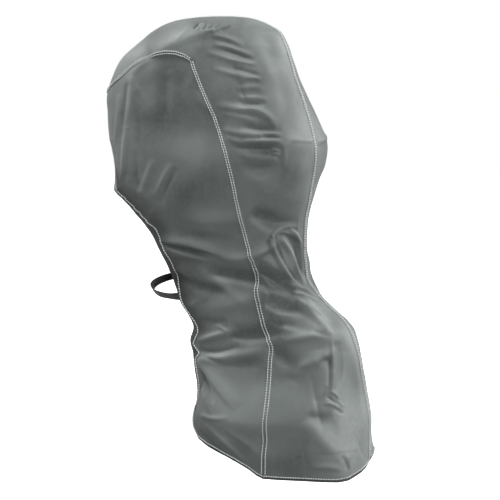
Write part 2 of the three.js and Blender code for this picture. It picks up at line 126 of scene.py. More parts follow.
# The rows begin to lift towards the hem at this depth, as this power of the way left.
RISE_STARTS = 1050.0
RISE_POWER = 1.5

# Folds. Places are as the eye sees the panel from off the quarter, a little from above:
# across is aft of the mount and down is below it, and the starboard side is seen in a mirror.
# Each fold runs through three points. height is outwards, so a trough is negative. left and
# right are its half widths on either hand of its way.
# Columns: across, down (three times), height, left, right.
PORT_FOLDS = [
    # The crown and its front slope.
    (51, 18, -106, 70, -230, 136, 7, 16, 26),
    (-224, 139, -270, 168, -299, 221, 5, 12, 14),
    (-230, 126, -159, 118, -80, 136, 8, 60, 14),
    (-72, 20, -80, 31, -90, 44, -13, 4, 4),
    (-57, 21, -65, 34, -72, 47, 7, 4, 4.5),
    (-44, 21, -52, 34, -59, 47, -8, 4, 4),
    (-21, 23, -31, 34, -42, 47, -9, 4, 4.5),
    (2, 24, -10, 36, -23, 47, -8, 4, 4),
    (31, 29, 18, 38, -2, 47, -10, 4, 4),
    (-106, 8, -21, 2, 77, 11, -7, 10, 22),
    (-51, 54, -15, 44, 25, 33, 4, 4, 5),
    (-93, 24, -110, 47, -139, 80, 3, 6, 7),
    # The fan of folds behind the side seam, up to the corner of the aft face.
    (-28, 64, 28, 75, 74, 100, 5, 12, 7),
    (-21, 93, 41, 108, 103, 134, 5, 10, 6),
    (-2, 106, 54, 123, 106, 152, -4.5, 7, 9),
    (-47, 116, 18, 137, 87, 163, 4, 10, 9),
    (18, 139, 67, 149, 113, 165, 3.5, 9, 6),
    (34, 168, 80, 181, 119, 204, -3.5, 6, 8),
    (-28, 172, 38, 188, 103, 214, 4, 10, 8),
    (77, 204, 103, 209, 126, 217, 3.5, 7, 5),
    (51, 234, 93, 237, 136, 247, 3.5, 10, 7),
    (57, 266, 100, 271, 146, 280, 5, 9, 8),
    (64, 289, 103, 291, 146, 286, -5.5, 8, 9),
    (-15, 286, 47, 302, 116, 309, 6, 14, 10),
    (51, 307, 116, 309, 185, 365, 8.5, 12, 10),
    (5, 319, 64, 329, 123, 351, 3.5, 10, 10),
    (64, 358, 132, 371, 195, 371, -6, 14, 9),
    (5, 368, 74, 384, 155, 389, 6.5, 12, 9),
    (142, 384, 168, 386, 198, 389, 4.5, 5, 4),
    (136, 397, 165, 397, 195, 399, -5, 4, 3.5),
    (77, 407, 136, 409, 201, 409, 9.5, 9, 6),
    (18, 394, 57, 407, 103, 409, 5, 10, 9),
    (31, 425, 96, 428, 195, 427, -5.5, 8, 8),
    (165, 436, 182, 438, 195, 440, 3, 4, 3.5),
    (165, 450, 182, 450, 195, 451, 3, 4, 3.5),
    (57, 446, 123, 463, 185, 464, 5, 12, 12),
    (64, 486, 116, 494, 168, 486, -4, 10, 12),
    (195, 409, 267, 409, 352, 410, 6, 28, 30),
    (208, 407, 267, 407, 345, 409, 3.5, 10, 6),
    (103, 38, 142, 214, 211, 430, 15, 34, 46),
    (211, 410, 214, 469, 208, 554, 5, 22, 12),
    (77, 508, 136, 538, 208, 505, 4.5, 14, 26),
    (136, 567, 152, 577, 172, 567, 2, 6, 6),
    (96, 639, 155, 669, 253, 685, -14, 28, 22),
    # The front of the head.
    (-289, 195, -296, 286, -306, 371, 6.5, 9, 8),
    (-309, 221, -314, 289, -325, 404, -5, 6, 6),
    (-306, 358, -314, 436, -325, 541, 7, 8, 7),
    (-332, 253, -335, 325, -347, 423, 4, 6, 5),
    (-273, 240, -268, 345, -263, 469, -4, 10, 12),
    (-227, 136, -214, 234, -224, 345, 9, 24, 36),
    (-172, 175, -159, 247, -165, 345, 6, 22, 16),
    (-283, 378, -132, 365, 18, 391, -11, 110, 80),
    (-80, 240, -60, 283, -15, 312, 4, 14, 12),
    (57, 489, -80, 508, -204, 688, 4, 32, 44),
    (-263, 240, -191, 214, -113, 221, -8, 34, 50),
    (-159, 482, -185, 531, -213, 593, 6.5, 7, 10),
    (-221, 469, -242, 528, -257, 584, 6, 8, 9),
    (-283, 436, -275, 508, -270, 567, -4, 8, 8),
    (-145, 495, -172, 548, -198, 613, -5, 8, 8),
    # The corner that turns in under the open front.
    (-355, 404, -350, 495, -338, 567, -8, 12, 12),
    (-342, 567, -302, 613, -230, 659, -15, 30, 46),
    (-325, 548, -289, 564, -237, 607, 3, 16, 22),
    (-230, 646, -201, 692, -172, 744, -8, 20, 18),
    # Below the head, down to the strap.
    (-126, 652, -41, 669, 77, 659, 6, 36, 18),
    (-100, 718, -28, 724, 51, 728, -3, 16, 14),
    (-139, 724, -74, 714, 5, 731, -3, 12, 12),
    (-198, 734, -100, 746, 18, 786, 11, 20, 9),
    (-2, 783, 83, 790, 182, 741, 9, 20, 11),
    (64, 221, 155, 198, 247, 191, 14, 50, 80),
    (-191, 742, -119, 762, -28, 775, -7, 5, 6),
    (-188, 755, -119, 778, -34, 796, 7.5, 7, 10),
    (-119, 803, -87, 858, -41, 924, 6, 30, 30),
    (-172, 839, -87, 875, 18, 901, -13, 15, 18),
    (-80, 816, -8, 868, 83, 934, 6, 16, 16),
    (-54, 839, 80, 862, 240, 904, -18, 32, 14),
    (-54, 947, 57, 934, 149, 894, 9, 30, 24),
    (-67, 986, -21, 999, 18, 992, -5, 12, 14),
    (25, 1038, 103, 1051, 208, 1025, -17, 32, 16),
    (-74, 1064, -21, 1045, 57, 1025, 9, 12, 10),
    (-172, 783, -145, 855, -93, 940, -12, 26, 20),
    (-15, 1009, 5, 1019, 25, 1028, 4, 6, 5),
    (-74, 1087, -15, 1097, 64, 1077, -8, 9, 9),
    (-74, 1117, 25, 1113, 155, 1087, 11, 16, 16),
    # Aft of the side seam, at the waist.
    (162, 737, 195, 696, 257, 688, 8, 9, 7),
    (188, 719, 224, 718, 263, 750, -7, 4, 7),
    (224, 718, 253, 770, 260, 855, -10, 8, 10),
    (165, 711, 172, 728, 178, 757, 4, 4, 5),
    (162, 724, 191, 790, 260, 894, 9, 7, 11),
    (201, 724, 231, 777, 273, 875, 9, 6, 10),
    (182, 741, 209, 803, 247, 868, -6, 5, 6),
    (227, 695, 253, 724, 267, 777, 6, 6, 7),
    (110, 835, 168, 862, 234, 901, -14, 34, 10),
    (149, 940, 208, 956, 273, 973, -14, 28, 12),
    (221, 876, 270, 891, 332, 922, 7.5, 6, 8),
    (231, 902, 289, 920, 365, 950, 6, 5.5, 6),
    (247, 927, 296, 963, 365, 1002, 10, 7, 10),
    (250, 940, 303, 986, 365, 1045, 9, 10, 9),
    (221, 875, 296, 956, 378, 1071, 12, 16, 34),
    (168, 1012, 227, 1009, 299, 1025, -9, 18, 10),
    (168, 986, 221, 973, 273, 973, 4, 10, 12),
    (201, 1061, 267, 1048, 352, 1035, 9, 14, 12),
    (149, 1074, 201, 1113, 253, 1156, -11, 28, 26),
    (253, 1143, 312, 1123, 378, 1084, 10, 20, 12),
    (293, 1025, 325, 1038, 358, 1041, -5, 8, 7),
    # The aft corner of the lower part.
    (364, 1045, 365, 1149, 361, 1267, 7, 6, 7),
    (355, 1097, 355, 1162, 352, 1228, -4, 5, 5),
    (389, 1064, 391, 1143, 381, 1221, -5, 5.5, 6),
    (378, 1097, 391, 1254, 404, 1424, 9, 70, 26),
    (273, 1411, 365, 1437, 456, 1418, 9, 60, 34),
    (338, 1269, 361, 1265, 388, 1283, 6, 5.5, 5),
    (355, 1226, 371, 1231, 384, 1251, 5, 4.5, 4.5),
    (345, 1241, 361, 1254, 371, 1267, -5, 4, 4),
    (371, 1282, 384, 1290, 397, 1295, -6, 4, 4),
    (280, 1300, 319, 1313, 365, 1306, -11, 16, 24),
    (378, 1251, 388, 1264, 397, 1274, 4, 4, 4),
    # The lower part.
    (-54, 1104, -15, 1126, 64, 1146, -5, 7, 8),
    (-74, 1117, -28, 1185, 64, 1280, 9, 28, 12),
    (-67, 1149, -41, 1198, -15, 1261, -6, 7, 8),
    (-60, 1215, -41, 1254, -21, 1300, 4, 7, 7),
    (18, 1130, 83, 1136, 149, 1136, -6, 20, 18),
    (-87, 1280, 96, 1319, 319, 1297, 36, 104, 58),
    (-41, 1332, 18, 1395, 90, 1460, 6, 10, 9),
    (25, 1349, 74, 1385, 129, 1431, 4, 12, 10),
    (-67, 1352, -21, 1404, 38, 1457, -5, 12, 10),
    (-54, 1300, -15, 1310, 38, 1306, 4, 8, 8),
    (280, 1319, 332, 1385, 417, 1457, 10, 32, 30),
    (319, 1090, 338, 1254, 345, 1431, 12, 55, 45),
    (90, 1424, 178, 1437, 273, 1434, 9, 40, 40),
    (299, 1476, 345, 1475, 397, 1483, 5, 14, 7),
    (394, 1437, 407, 1457, 417, 1486, -6, 6, 6),
    (312, 1261, 332, 1241, 345, 1208, -4, 8, 8),
    (182, 1195, 227, 1182, 273, 1195, -4, 18, 18),
    (319, 1130, 345, 1123, 358, 1162, -5, 12, 12),
]
STARBOARD_FOLDS = [
    (-204, 705, -100, 724, 18, 764, 8, 13, 9),
    (-185, 731, -80, 760, 31, 777, -7, 9, 13),
    (51, 757, 123, 750, 221, 718, 5, 10, 10),
    (-51, 803, 31, 829, 136, 822, -6, 13, 12),
    (-132, 849, -51, 875, 51, 881, 6, 16, 12),
    (-119, 894, -28, 921, 83, 927, -7, 12, 14),
    (-21, 973, 64, 986, 136, 1012, -5, 14, 12),
    (-80, 1025, -15, 1038, 64, 1025, 6, 10, 10),
    (-77, 1058, -2, 1071, 83, 1051, -6, 10, 10),
    (-67, 1097, 38, 1104, 136, 1077, 5, 12, 12),
    (181, 731, 201, 803, 240, 888, 5, 8, 8),
    (136, 842, 181, 862, 234, 875, -7, 13, 12),
    (214, 862, 299, 907, 391, 986, 8, 14, 10),
    (247, 927, 299, 979, 352, 1038, -8, 10, 10),
    (260, 914, 319, 960, 371, 1019, 6, 9, 7),
    (361, 1045, 368, 1149, 365, 1287, 6, 14, 8),
    (332, 1091, 342, 1189, 345, 1287, -4, 9, 8),
    (280, 1267, 325, 1287, 378, 1274, -6, 8, 8),
    (306, 1319, 365, 1365, 410, 1411, 4, 10, 10),
    (-60, 1162, -21, 1241, 83, 1313, 5, 14, 14),
    (-41, 1280, 38, 1333, 149, 1372, -6, 18, 16),
    (-47, 1333, 11, 1385, 96, 1437, 4, 8, 8),
    (188, 1313, 260, 1352, 332, 1372, -5, 24, 24),
    (-41, 77, 38, 110, 110, 162, 5, 8, 8),
    (11, 90, 64, 123, 116, 175, -6, 9, 7),
    (51, 221, 103, 234, 142, 253, -5, 7, 7),
    (18, 273, 96, 280, 162, 299, 4, 8, 8),
    (11, 338, 110, 352, 195, 391, -6, 9, 8),
    (38, 391, 123, 397, 198, 410, 5, 6, 6),
    (57, 437, 136, 437, 201, 430, -6, 7, 7),
    (103, 83, 136, 234, 204, 414, 5, 25, 10),
    (204, 414, 253, 414, 306, 417, 5, 14, 8),
    (38, 25, -119, 83, -231, 149, 4, 10, 10),
    (-322, 221, -329, 371, -316, 522, 4, 6, 6),
    (-185, 195, -178, 273, -198, 365, -7, 14, 14),
    (-244, 423, -113, 410, 18, 443, 6, 25, 25),
    (-198, 469, -231, 535, -253, 600, 5, 7, 7),
    (-100, 489, -165, 574, -217, 685, 6, 10, 10),
    (31, 515, -87, 567, -185, 731, -8, 16, 16),
    (-316, 567, -276, 607, -231, 652, -7, 13, 10),
]
# Steps along a fold's line, how many half widths away it still counts, the power of its rise and
# fall along the line, and how far from the centre seam all folds have faded in.
FOLD_STEPS = 16
FOLD_REACH = 3.2
FOLD_TAPER = 0.6
FLAT_AT_MIDDLE = 45.0

# How far inside the free front edge its stitch row runs: depth, inset along the cloth.
HEM_INSET = np.array([
    (395, 6), (436, 7), (534, 9), (590, 13), (630, 15), (638, 23), (646, 18), (682, 26),
    (731, 22), (770, 23), (832, 18), (894, 8), (937, 7), (963, 8), (996, 18), (1019, 24),
    (1037, 22), (1055, 13), (1074, 22), (1087, 28), (1098, 18), (1110, 10), (1166, 10),
    (1290, 9), (1342, 6), (1478, 6),
], float)
BOTTOM_INSET = 9.0
# How far a hem rolls in, as a share of its width, and the power with which it does.
HEM_ROLL = 0.1
HEM_ROLL_POWER = 1.6
# Over what depth the free edge begins to roll, and to have cloth turned under.
ROLL_STARTS = 30.0
TURN_STARTS = 25.0
# The radius of the turn at the edge of a hem, and the points across its turn and its strip.
TURN_RADIUS = 1.3
HEM_POINTS = 5

# The bottom corner at the centre seam: how far it hangs in and down, over what length of the
# seam above it, and over what turn round the section.
AFT_CORNER = np.array((-13.0, 0.0, -42.0))
CORNER_REACH = 150.0
CORNER_TURN = 0.55

# Painted shade along the open front, where shade falls on the cloth: depth, share.
EDGE_PAINTED_SHADE = np.array([
    (395, 0.2), (480, 0.35), (530, 1.0), (620, 1.0), (700, 0.6), (780, 0.85), (850, 1.0),
    (1000, 1.0), (1030, 0.7), (1060, 0.1), (1290, 0.3), (1478, 0.1),
], float)
# The same share of painted shade along the bottom hem, and how far the painted shade reaches in
# from a hem. A hem is fully dark with painted shade where it has rolled in by HEM_DARK_FROM of
# its way.
BOTTOM_PAINTED_SHADE = 0.2
PAINTED_SHADE_REACH = 46.0
HEM_DARK_FROM = 0.3

# Soft patches of painted light (above 0) and painted shade (below 0): across and down to the
# middle, half widths across and down, share.
PAINTED_LIGHT_PATCHES = np.array([
    (-298, 160, 55, 75, 0.9), (-195, 75, 42, 40, -0.5), (-105, 72, 45, 32, 0.45),
    (30, 38, 110, 32, -0.5), (212, 90, 26, 70, 0.7), (20, 200, 60, 90, 0.3),
    (120, 180, 75, 85, -0.7), (-215, 300, 55, 80, -0.35), (-100, 290, 98, 80, 0.4),
    (204, 310, 70, 160, -0.8), (-302, 436, 45, 60, 0.7), (-100, 420, 125, 60, 0.95),
    (262, 480, 60, 80, -0.55), (-306, 545, 45, 42, -1.0), (-116, 567, 60, 50, -0.45),
    (152, 540, 70, 50, 0.6), (-10, 650, 90, 60, 0.35), (30, 790, 90, 90, 0.35),
    (155, 765, 45, 150, -0.5), (272, 840, 45, 110, -1.1), (-112, 835, 42, 50, -0.9),
    (162, 930, 45, 60, -0.4), (-30, 1140, 100, 80, 0.4), (292, 1080, 70, 60, 0.45),
    (345, 1156, 35, 60, -0.4), (70, 1320, 120, 82, 0.5), (-50, 1290, 40, 70, -0.45),
    (200, 1440, 90, 60, -0.45), (424, 1350, 55, 110, 1.6), (372, 1012, 48, 42, -0.5),
    (446, 1200, 28, 90, -0.6),
], float)
# Painted highlight on the ridges of folds and painted shade in their troughs: the height at which
# they are at their palest, and how much that counts beside the patches.
STANDS_OUT = 11.0
FOLD_SHADING = 0.5

# Painted light on the faces that look up, forwards or aft, and painted shade on the others: how
# much looking forwards or aft and looking up count, and the sums from which it shows and is at
# its most.
LIT_ALONG = 0.6
LIT_UP = 0.5
LIT_FROM, LIT_FULL = 0.15, 0.75

# Half the distance between a seam's two stitch rows: depth, half gap.
SEAM_HALF_GAP = np.array([(0, 3.4), (600, 3.8), (1000, 5.0), (1478, 6.2)], float)
SEAM_BAND_RISE = 0.8
SEAM_BAND_EASES = 2.0
SEAM_GROOVE = 1.6
SEAM_GROOVE_WIDTH = 1.1
PUCKER_HEIGHT = 0.5
PUCKER_REACH = 15.0
PUCKER_CELL = 15.0
# Over what length a seam's relief ends past the arch's corner, and beside the free edge, and
# the turn by which the arched seam's relief may pass the side seam.
SEAM_ENDS = 3.0
SEAM_LEAVES_EDGE = 6.0
PAST_SEAM = 0.05

# The strap: its sewn ends follow the inside of the cloth, and its bow hangs across the front.
STRAP_PORT_DEPTH = 905.0
STRAP_STARBOARD_DEPTH = 857.0
STRAP_END_ANGLES = np.radians((66.0, 60.0, 54.0, 48.5))
STRAP_BOW = np.array([
    (-128, -113, -905), (-180, -94, -902), (-221, -54, -893), (-237, 2, -882),
    (-223, 56, -871), (-188, 92, -862), (-146, 109, -857),
], float)
STRAP_BOW_CENTRE = -66.0
STRAP_LEAN = 0.6
# How far inside the smooth cloth its ends lie, its rings and their points, and the powers that
# make its section flat with round edges.
STRAP_INSIDE = 5.5
STRAP_RINGS = 161
STRAP_PROFILE = 20
STRAP_FLATNESS = (0.4, 0.8)

# How far a stitch's middle stands off the cloth, how much deeper its ends lie, and its sides.
STITCH_LIFT = 1.4
STITCH_DIP = 0.7
STITCH_SIDES = 6
# How far from the arched seam the rows of the front and centre seams and of the side seam
# start, and the turn past which the centre seam's row is left out close to the crown's middle.
ROW_STARTS = 4.0
SIDE_ROW_STARTS = 3.0
CROWN_TURN = 1.2
# Points along each row.
ARCH_POINTS = 500
SIDE_POINTS = 1200
FRONT_POINTS = 1400
BOTTOM_POINTS = 500
CENTRE_POINTS = 2400

# Unevenness of the hanging cloth between its folds: its height, the size of its lumps, and the
# share and size of its finer lumps. Patterns take a radian round a section as ROUND_MM.
UNEVEN_HEIGHT = 1.5
UNEVEN_CELL = 95.0
UNEVEN_FINE = 0.45
UNEVEN_FINE_CELL = 38.0
ROUND_MM = 150.0
LATTICE = 64

# The grids: their step, their steps close to a seam, the lengths that they are counted on, and
# how far below the arched seam their rows are level.
GRID_STEP = 4.2
FINE_STEPS = (0.0, 1.0, 2.0, 3.2, 4.6, 6.4, 8.8, 12.0)
FRONT_WIDTH = 340.0
BACK_WIDTH = 330.0
CROWN_REACH = 300.0
ARCH_EASES = 450.0
MERGE_WITHIN = 0.01
# Rounds of working out what depends on itself: the free edge's angles on rows that follow the
# arch, and the angles that give its stitch row its inset.
EDGE_ROUNDS = 6
INSET_ROUNDS = 4
# Shares of the way to the arch's corner between which the weave turns from round to straight.
CROWN_WEAVE_FROM, CROWN_WEAVE_FADES = 0.5, 0.3

# Thread spacings that show. The real canvas has about two threads to the millimetre, and the
# webbing's ribs are about 1.3 mm; both are drawn coarser, because they would not show.
WEAVE_PITCH = 1.3
WEBBING_PITCH = 2.2
# Sizes of the lumps in the patterns: unevenly faded cloth, rubbed flecks and fine crinkles,
# soil and plies on the thread, wear on the webbing, and the paper's grain. A real ply is about
# 0.3 mm and paper grain less, so both are drawn coarser.
CLOUD, RUB, CRINKLE = 110.0, 14.0, 20.0
THREAD_SOIL, PLY = 60.0, 1.6
WEBBING_WEAR = 25.0
PAPER_GRAIN = 6.0

# The stage, in metres, degrees and watts: each light's azimuth, elevation, size and power.
LIGHTS = {
    "overhead light": (-14.0, 70.0, 5.6, 1010.0),
    "left light": (-90.0, 40.0, 5.6, 770.0),
    "front left light": (-60.0, 10.0, 5.6, 260.0),
    "right light": (60.0, 8.0, 5.6, 900.0),
    "back light": (138.0, 40.0, 5.6, 490.0),
    "low back light": (150.0, 10.0, 5.6, 480.0),
}
LIGHT_AIM = np.array((0.1, 0.0, -0.7))
LIGHT_DISTANCE = 14.0
WORLD_LIGHT = 0.06
# The floor: how far it reaches each way and lies below the hem, in mm, its points each way, and
# how much it glows.
FLOOR_REACH = 14000.0
FLOOR_BELOW = 250.0
FLOOR_POINTS = 9
FLOOR_GLOW = 1.25

# The eye that the folds are drawn for, which is the camera as well: where it stands and aims,
# where it sees the mount, right of and below its aim, and how far it reaches, in metres.
EYE_AZIMUTH = np.radians(22.0)
EYE_RISE = np.radians(7.0)
EYE_DISTANCE = 6500.0
EYE_AIM = np.array((106.0, 0.0, -755.0))
MOUNT_SEEN = np.array((-96.5, -763.5))
EYE_MM_PER_PIXEL = 3.27
PHOTO_WIDTH = 500
SENSOR_WIDTH = 36.0
CAMERA_REACH = 100.0

# What differs between the two sides of the cover.
PORT = {"name": "port", "side": -1, "rise": PORT_RISE, "folds": PORT_FOLDS, "seed": 1}
STARBOARD = {
    "name": "starboard", "side": 1, "rise": STARBOARD_RISE, "folds": STARBOARD_FOLDS, "seed": 2,
}
FLANKS = (PORT, STARBOARD)
SIDE_SEAM = np.pi / 2
BACK_SEAM = np.pi


# The form of the cover

def parabola_slopes(knots, values):
    """Slope at each knot of the parabola through it and its two neighbours."""
    step = np.diff(knots)[:, None]
    rate = np.diff(values, axis=0) / step
    slopes = np.empty_like(values)
    slopes[1:-1] = (step[1:] * rate[:-1] + step[:-1] * rate[1:]) / (step[:-1] + step[1:])
    slopes[0], slopes[-1] = rate[0], rate[-1]
    return slopes


def cubic(knots, values, slopes, at):
    """Between two knots, the cubic that has their values and slopes at both ends."""
    i = np.clip(np.searchsorted(knots, at, side="right") - 1, 0, len(knots) - 2)
    h = (knots[i + 1] - knots[i])[..., None]
    s = (at - knots[i])[..., None] / h
    return (
        (1 + 2 * s) * (1 - s) ** 2 * values[i]
        + s * (1 - s) ** 2 * h * slopes[i]
        + s * s * (3 - 2 * s) * values[i + 1]
        + s * s * (s - 1) * h * slopes[i + 1]
    )


def section_curve():
    """Knots, values and slopes of the curve through the sections.

    A knot is the way travelled down the cloth, the root of the summed squares of the changes
    in depth, front, back and width, each with its share. The first row is mirrored over the
    top, so that the curve passes it evenly.
    """
    change = np.diff(SECTIONS[:, [0, 1, 3, 4]], axis=0)
    ways = np.cumsum(np.sqrt((change ** 2) @ WAY_SHARES))
    ways = np.concatenate([[0.0], ways])
    over_top = SECTIONS[1].copy()
    over_top[1:5] = 2 * SECTIONS[0, 1:5] - SECTIONS[1, 1:5]
    knots = np.concatenate([[-ways[1]], ways])
    values = np.vstack([over_top, SECTIONS])
    return knots, values, parabola_slopes(knots, values)


KNOTS, KNOT_VALUES, KNOT_SLOPES = section_curve()
END = KNOTS[-1]


def section(way):
    """The section's columns at a way."""
    return cubic(KNOTS, KNOT_VALUES, KNOT_SLOPES, np.asarray(way, float))


WAY_SAMPLES = np.linspace(0, END, WAY_STEPS)
DOWN_SAMPLES = section(WAY_SAMPLES)[:, 0]


def way_to(down):
    """The way travelled when the section is a given depth down."""
    return np.interp(down, DOWN_SAMPLES, WAY_SAMPLES)


def depth_at(way):
    """The depth of the section at a way, before the rows lift to the hem."""
    return np.interp(way, WAY_SAMPLES, DOWN_SAMPLES)


def in_table(table, at):
    """The second column of a table at values of its first, in straight lines between rows."""
    return np.interp(at, table[:, 0], table[:, 1])


def arch_way(angle):
    """The way to the arched seam, or past the side seam to the level of its corner."""
    return way_to(in_table(ARCH_SEAM, np.degrees(angle)))


CORNER_WAY = float(way_to(ARCH_CORNER))


def free_edge_angle(way):
    """The angle of the free front edge at a way, 0 above the open front."""
    return np.radians(in_table(FREE_EDGE, depth_at(way)))


def smooth(share):
    """s * s * (3 - 2 * s), held between 0 and 1."""
    s = np.clip(share, 0, 1)
    return s * s * (3 - 2 * s)


def unit(vectors):
    """Vectors scaled to length 1."""
    length = np.linalg.norm(vectors, axis=-1, keepdims=True)
    return vectors / np.maximum(length, TINY)


def place(way, angle, flank):
    """A point of the smooth cover on the port side.

    Level sections are superellipses in polar form, stretched to the front, the back and half
    the width. Near the bottom the rows are lifted to follow the hem.
    """
    way, angle = np.broadcast_arrays(np.asarray(way, float), np.asarray(angle, float))
    down, front, seam, back, half, front_square, back_square = np.moveaxis(section(way), -1, 0)
    c, s = np.cos(angle), np.sin(angle)
    square = np.where(c > 0, front_square, back_square)
    out = (np.abs(c) ** square + np.abs(s) ** square) ** (-1 / square)
    reach = np.where(c > 0, seam - front, back - seam)
    share = np.clip((down - RISE_STARTS) / (BOTTOM - RISE_STARTS), 0, None) ** RISE_POWER
    rise = in_table(flank["rise"], np.degrees(np.abs(angle))) * share
    return np.stack([seam - reach * c * out, -half * s * out, TOP - down + rise], -1)


def directions(way, angle, flank):
    """Down the cloth, round the section and outwards, by differences of the smooth cover.

    At the top itself, where all rows meet, outwards is up.
    """
    down_step, round_step, top = 0.5, 0.004, 0.01
    along = place(way + down_step, angle, flank) - place(way - down_step, angle, flank)
    around = place(way, angle + round_step, flank) - place(way, angle - round_step, flank)
    along, around = along / (2 * down_step), around / (2 * round_step)
    outwards = unit(np.cross(along, around))
    outwards = np.where(np.asarray(way)[..., None] <= top, np.array((0.0, 0.0, 1.0)), outwards)
    return along, around, outwards


def towards(azimuth, elevation):
    """The unit vector at an azimuth, 0 to port and 90 degrees aft, and an elevation."""
    level = np.cos(elevation)
    return np.array((np.sin(azimuth) * level, -np.cos(azimuth) * level, np.sin(elevation)))


EYE_RIGHT = np.array((np.cos(EYE_AZIMUTH), np.sin(EYE_AZIMUTH), 0.0))
EYE_BACK = towards(EYE_AZIMUTH, EYE_RISE)
EYE_UP = np.cross(EYE_BACK, EYE_RIGHT)
EYE = EYE_AIM + EYE_DISTANCE * EYE_BACK


def seen_at(points):
    """Where the eye sees points: right of and below the mount, at the aim's distance."""
    ray = points - EYE
    scale = EYE_DISTANCE / -(ray @ EYE_BACK)
    return np.stack([(ray @ EYE_RIGHT) * scale, -(ray @ EYE_UP) * scale], -1) - MOUNT_SEEN


def fold_heights(seen, folds):
    """The sum of all folds at places seen by the eye.

    A fold's line is the parabola through its three points. Across the line it is a bell, with
    the half width of its side, and along the line it rises and falls as a power of a sine.
    """
    spots = seen.reshape(-1, 2)
    heights = np.zeros(len(spots))
    u = np.linspace(0, 1, FOLD_STEPS + 1)[:, None]
    for *numbers, height, left, right in folds:
        a, b, c = np.array(numbers).reshape(3, 2)
        pull = 2 * b - (a + c) / 2
        line = (1 - u) ** 2 * a + 2 * u * (1 - u) * pull + u * u * c
        reach = FOLD_REACH * max(left, right)
        inside = (spots > line.min(0) - reach) & (spots < line.max(0) + reach)
        near = np.nonzero(inside.all(1))[0]
        start, step = line[:-1], np.diff(line, axis=0)
        gap = spots[near, None] - start
        share = np.clip((gap * step).sum(-1) / (step ** 2).sum(1), 0, 1)
        off = gap - share[..., None] * step
        distance = (off ** 2).sum(-1)
        k = distance.argmin(1)
        i = np.arange(len(near))
        side = step[k, 0] * off[i, k, 1] - step[k, 1] * off[i, k, 0]
        width = np.where(side > 0, right, left)
        along = np.clip((k + share[i, k]) / FOLD_STEPS, 0, 1)
        taper = np.sin(np.pi * along) ** FOLD_TAPER
        heights[near] += height * taper * np.exp(-distance[i, k] / width ** 2)
    return heights.reshape(seen.shape[:-1])


def folded(way, angle, flank):
    """A point of the cover on the port side with its folds alone."""
    point = place(way, angle, flank)
    fade = smooth(-point[..., 1] / FLAT_AT_MIDDLE)
    height = fold_heights(seen_at(point), flank["folds"]) * fade
    return point + directions(way, angle, flank)[2] * height[..., None]


def noise(u, v, cell, seed):
    """Smooth random heights of about -1 to 1: values on a lattice, blended by s*s*(3-2s)."""
    lattice = np.random.default_rng(SEED * 100 + seed).uniform(-1, 1, (LATTICE, LATTICE))
    x, y = u / cell, v / cell
    i, j = np.floor(x).astype(int), np.floor(y).astype(int)
    a, b = smooth(x - i), smooth(y - j)
    left, right = i % LATTICE, (i + 1) % LATTICE
    below, above = j % LATTICE, (j + 1) % LATTICE
    low = lattice[left, below] * (1 - a) + lattice[right, below] * a
    high = lattice[left, above] * (1 - a) + lattice[right, above] * a
    return low * (1 - b) + high * b


def half_gap(down):
    """Half the distance between the two stitch rows of a seam, by depth."""
    return in_table(SEAM_HALF_GAP, down)


def seam_relief(off, along, gap, seed):
    """The relief of a felled seam: off is the distance from it, along the place on it.

    The band between the stitch rows stands proud, the seam itself is a groove, and puckers
    run away from the rows and fade out.
    """
    off = np.abs(off)
    band = SEAM_BAND_RISE * smooth((gap + SEAM_BAND_EASES - off) / SEAM_BAND_EASES)
    groove = SEAM_GROOVE * np.exp(-(off / SEAM_GROOVE_WIDTH) ** 2)
    pucker = PUCKER_HEIGHT * noise(along, off, PUCKER_CELL, seed)
    pucker = pucker * np.exp(-(off / PUCKER_REACH) ** 2)
    return band - groove + pucker * smooth(off / gap)


def all_seams(point, way, angle, speeds, seed):
    """The relief of the side seam, the arched seam and the centre seam together.

    speeds are the mm travelled per unit of way down the cloth and per radian round it.
    """
    speed_down, speed_round = speeds
    gap = half_gap(depth_at(way))
    side_off = (angle - SIDE_SEAM) * speed_round
    below_corner = smooth((way - arch_way(SIDE_SEAM)) / SEAM_ENDS + 1.0)
    side = seam_relief(side_off, way, gap, seed + 2) * below_corner
    arch_off = (way - arch_way(angle)) * speed_down
    beside_arch = smooth((SIDE_SEAM - angle) * speed_round / SEAM_ENDS + 1.0)
    in_front = angle <= SIDE_SEAM + PAST_SEAM
    arch = seam_relief(arch_off, angle * ROUND_MM, gap, seed + 3) * beside_arch * in_front
    return side + arch + seam_relief(point[..., 1], way, gap, seed + 4)


def unevenness(way, angle, seed):
    """Slight lumps of the hanging cloth: coarse noise, and a share of finer noise."""
    spread = angle * ROUND_MM
    return (
        UNEVEN_HEIGHT * noise(spread, way, UNEVEN_CELL, seed)
        + UNEVEN_FINE * UNEVEN_HEIGHT * noise(spread, way, UNEVEN_FINE_CELL, seed + 1)
    )


def lowered_corner(way, angle):
    """How the bottom corner at the centre seam hangs in and down.

    The shift fades in down the seam by s * s * (3 - 2 * s), and out round the section as a bell.
    """
    down_seam = smooth(1 - (END - way) / CORNER_REACH)
    round_section = np.exp(-((BACK_SEAM - angle) / CORNER_TURN) ** 2)
    return (down_seam * round_section)[..., None] * AFT_CORNER


def edge_distance(way, angle, along, around):
    """Distance along the cloth from the free front edge, square to it."""
    step = 1.0
    edge = free_edge_angle(way)
    turn = (free_edge_angle(way + step) - free_edge_angle(way - step)) / (2 * step)
    edge_line = unit(along + turn[..., None] * around)
    across = (angle - edge)[..., None] * around
    return np.linalg.norm(np.cross(across, edge_line), axis=-1)


def painted_patches(seen):
    """Painted light and shade at places in the chart: a sum of soft patches."""
    painted_light = np.zeros(seen.shape[:-1])
    for across, down, half_across, half_down, share in PAINTED_LIGHT_PATCHES:
        away = (seen - (across, down)) / (half_across, half_down)
        painted_light = painted_light + share * np.exp(-(away ** 2).sum(-1))
    return painted_light


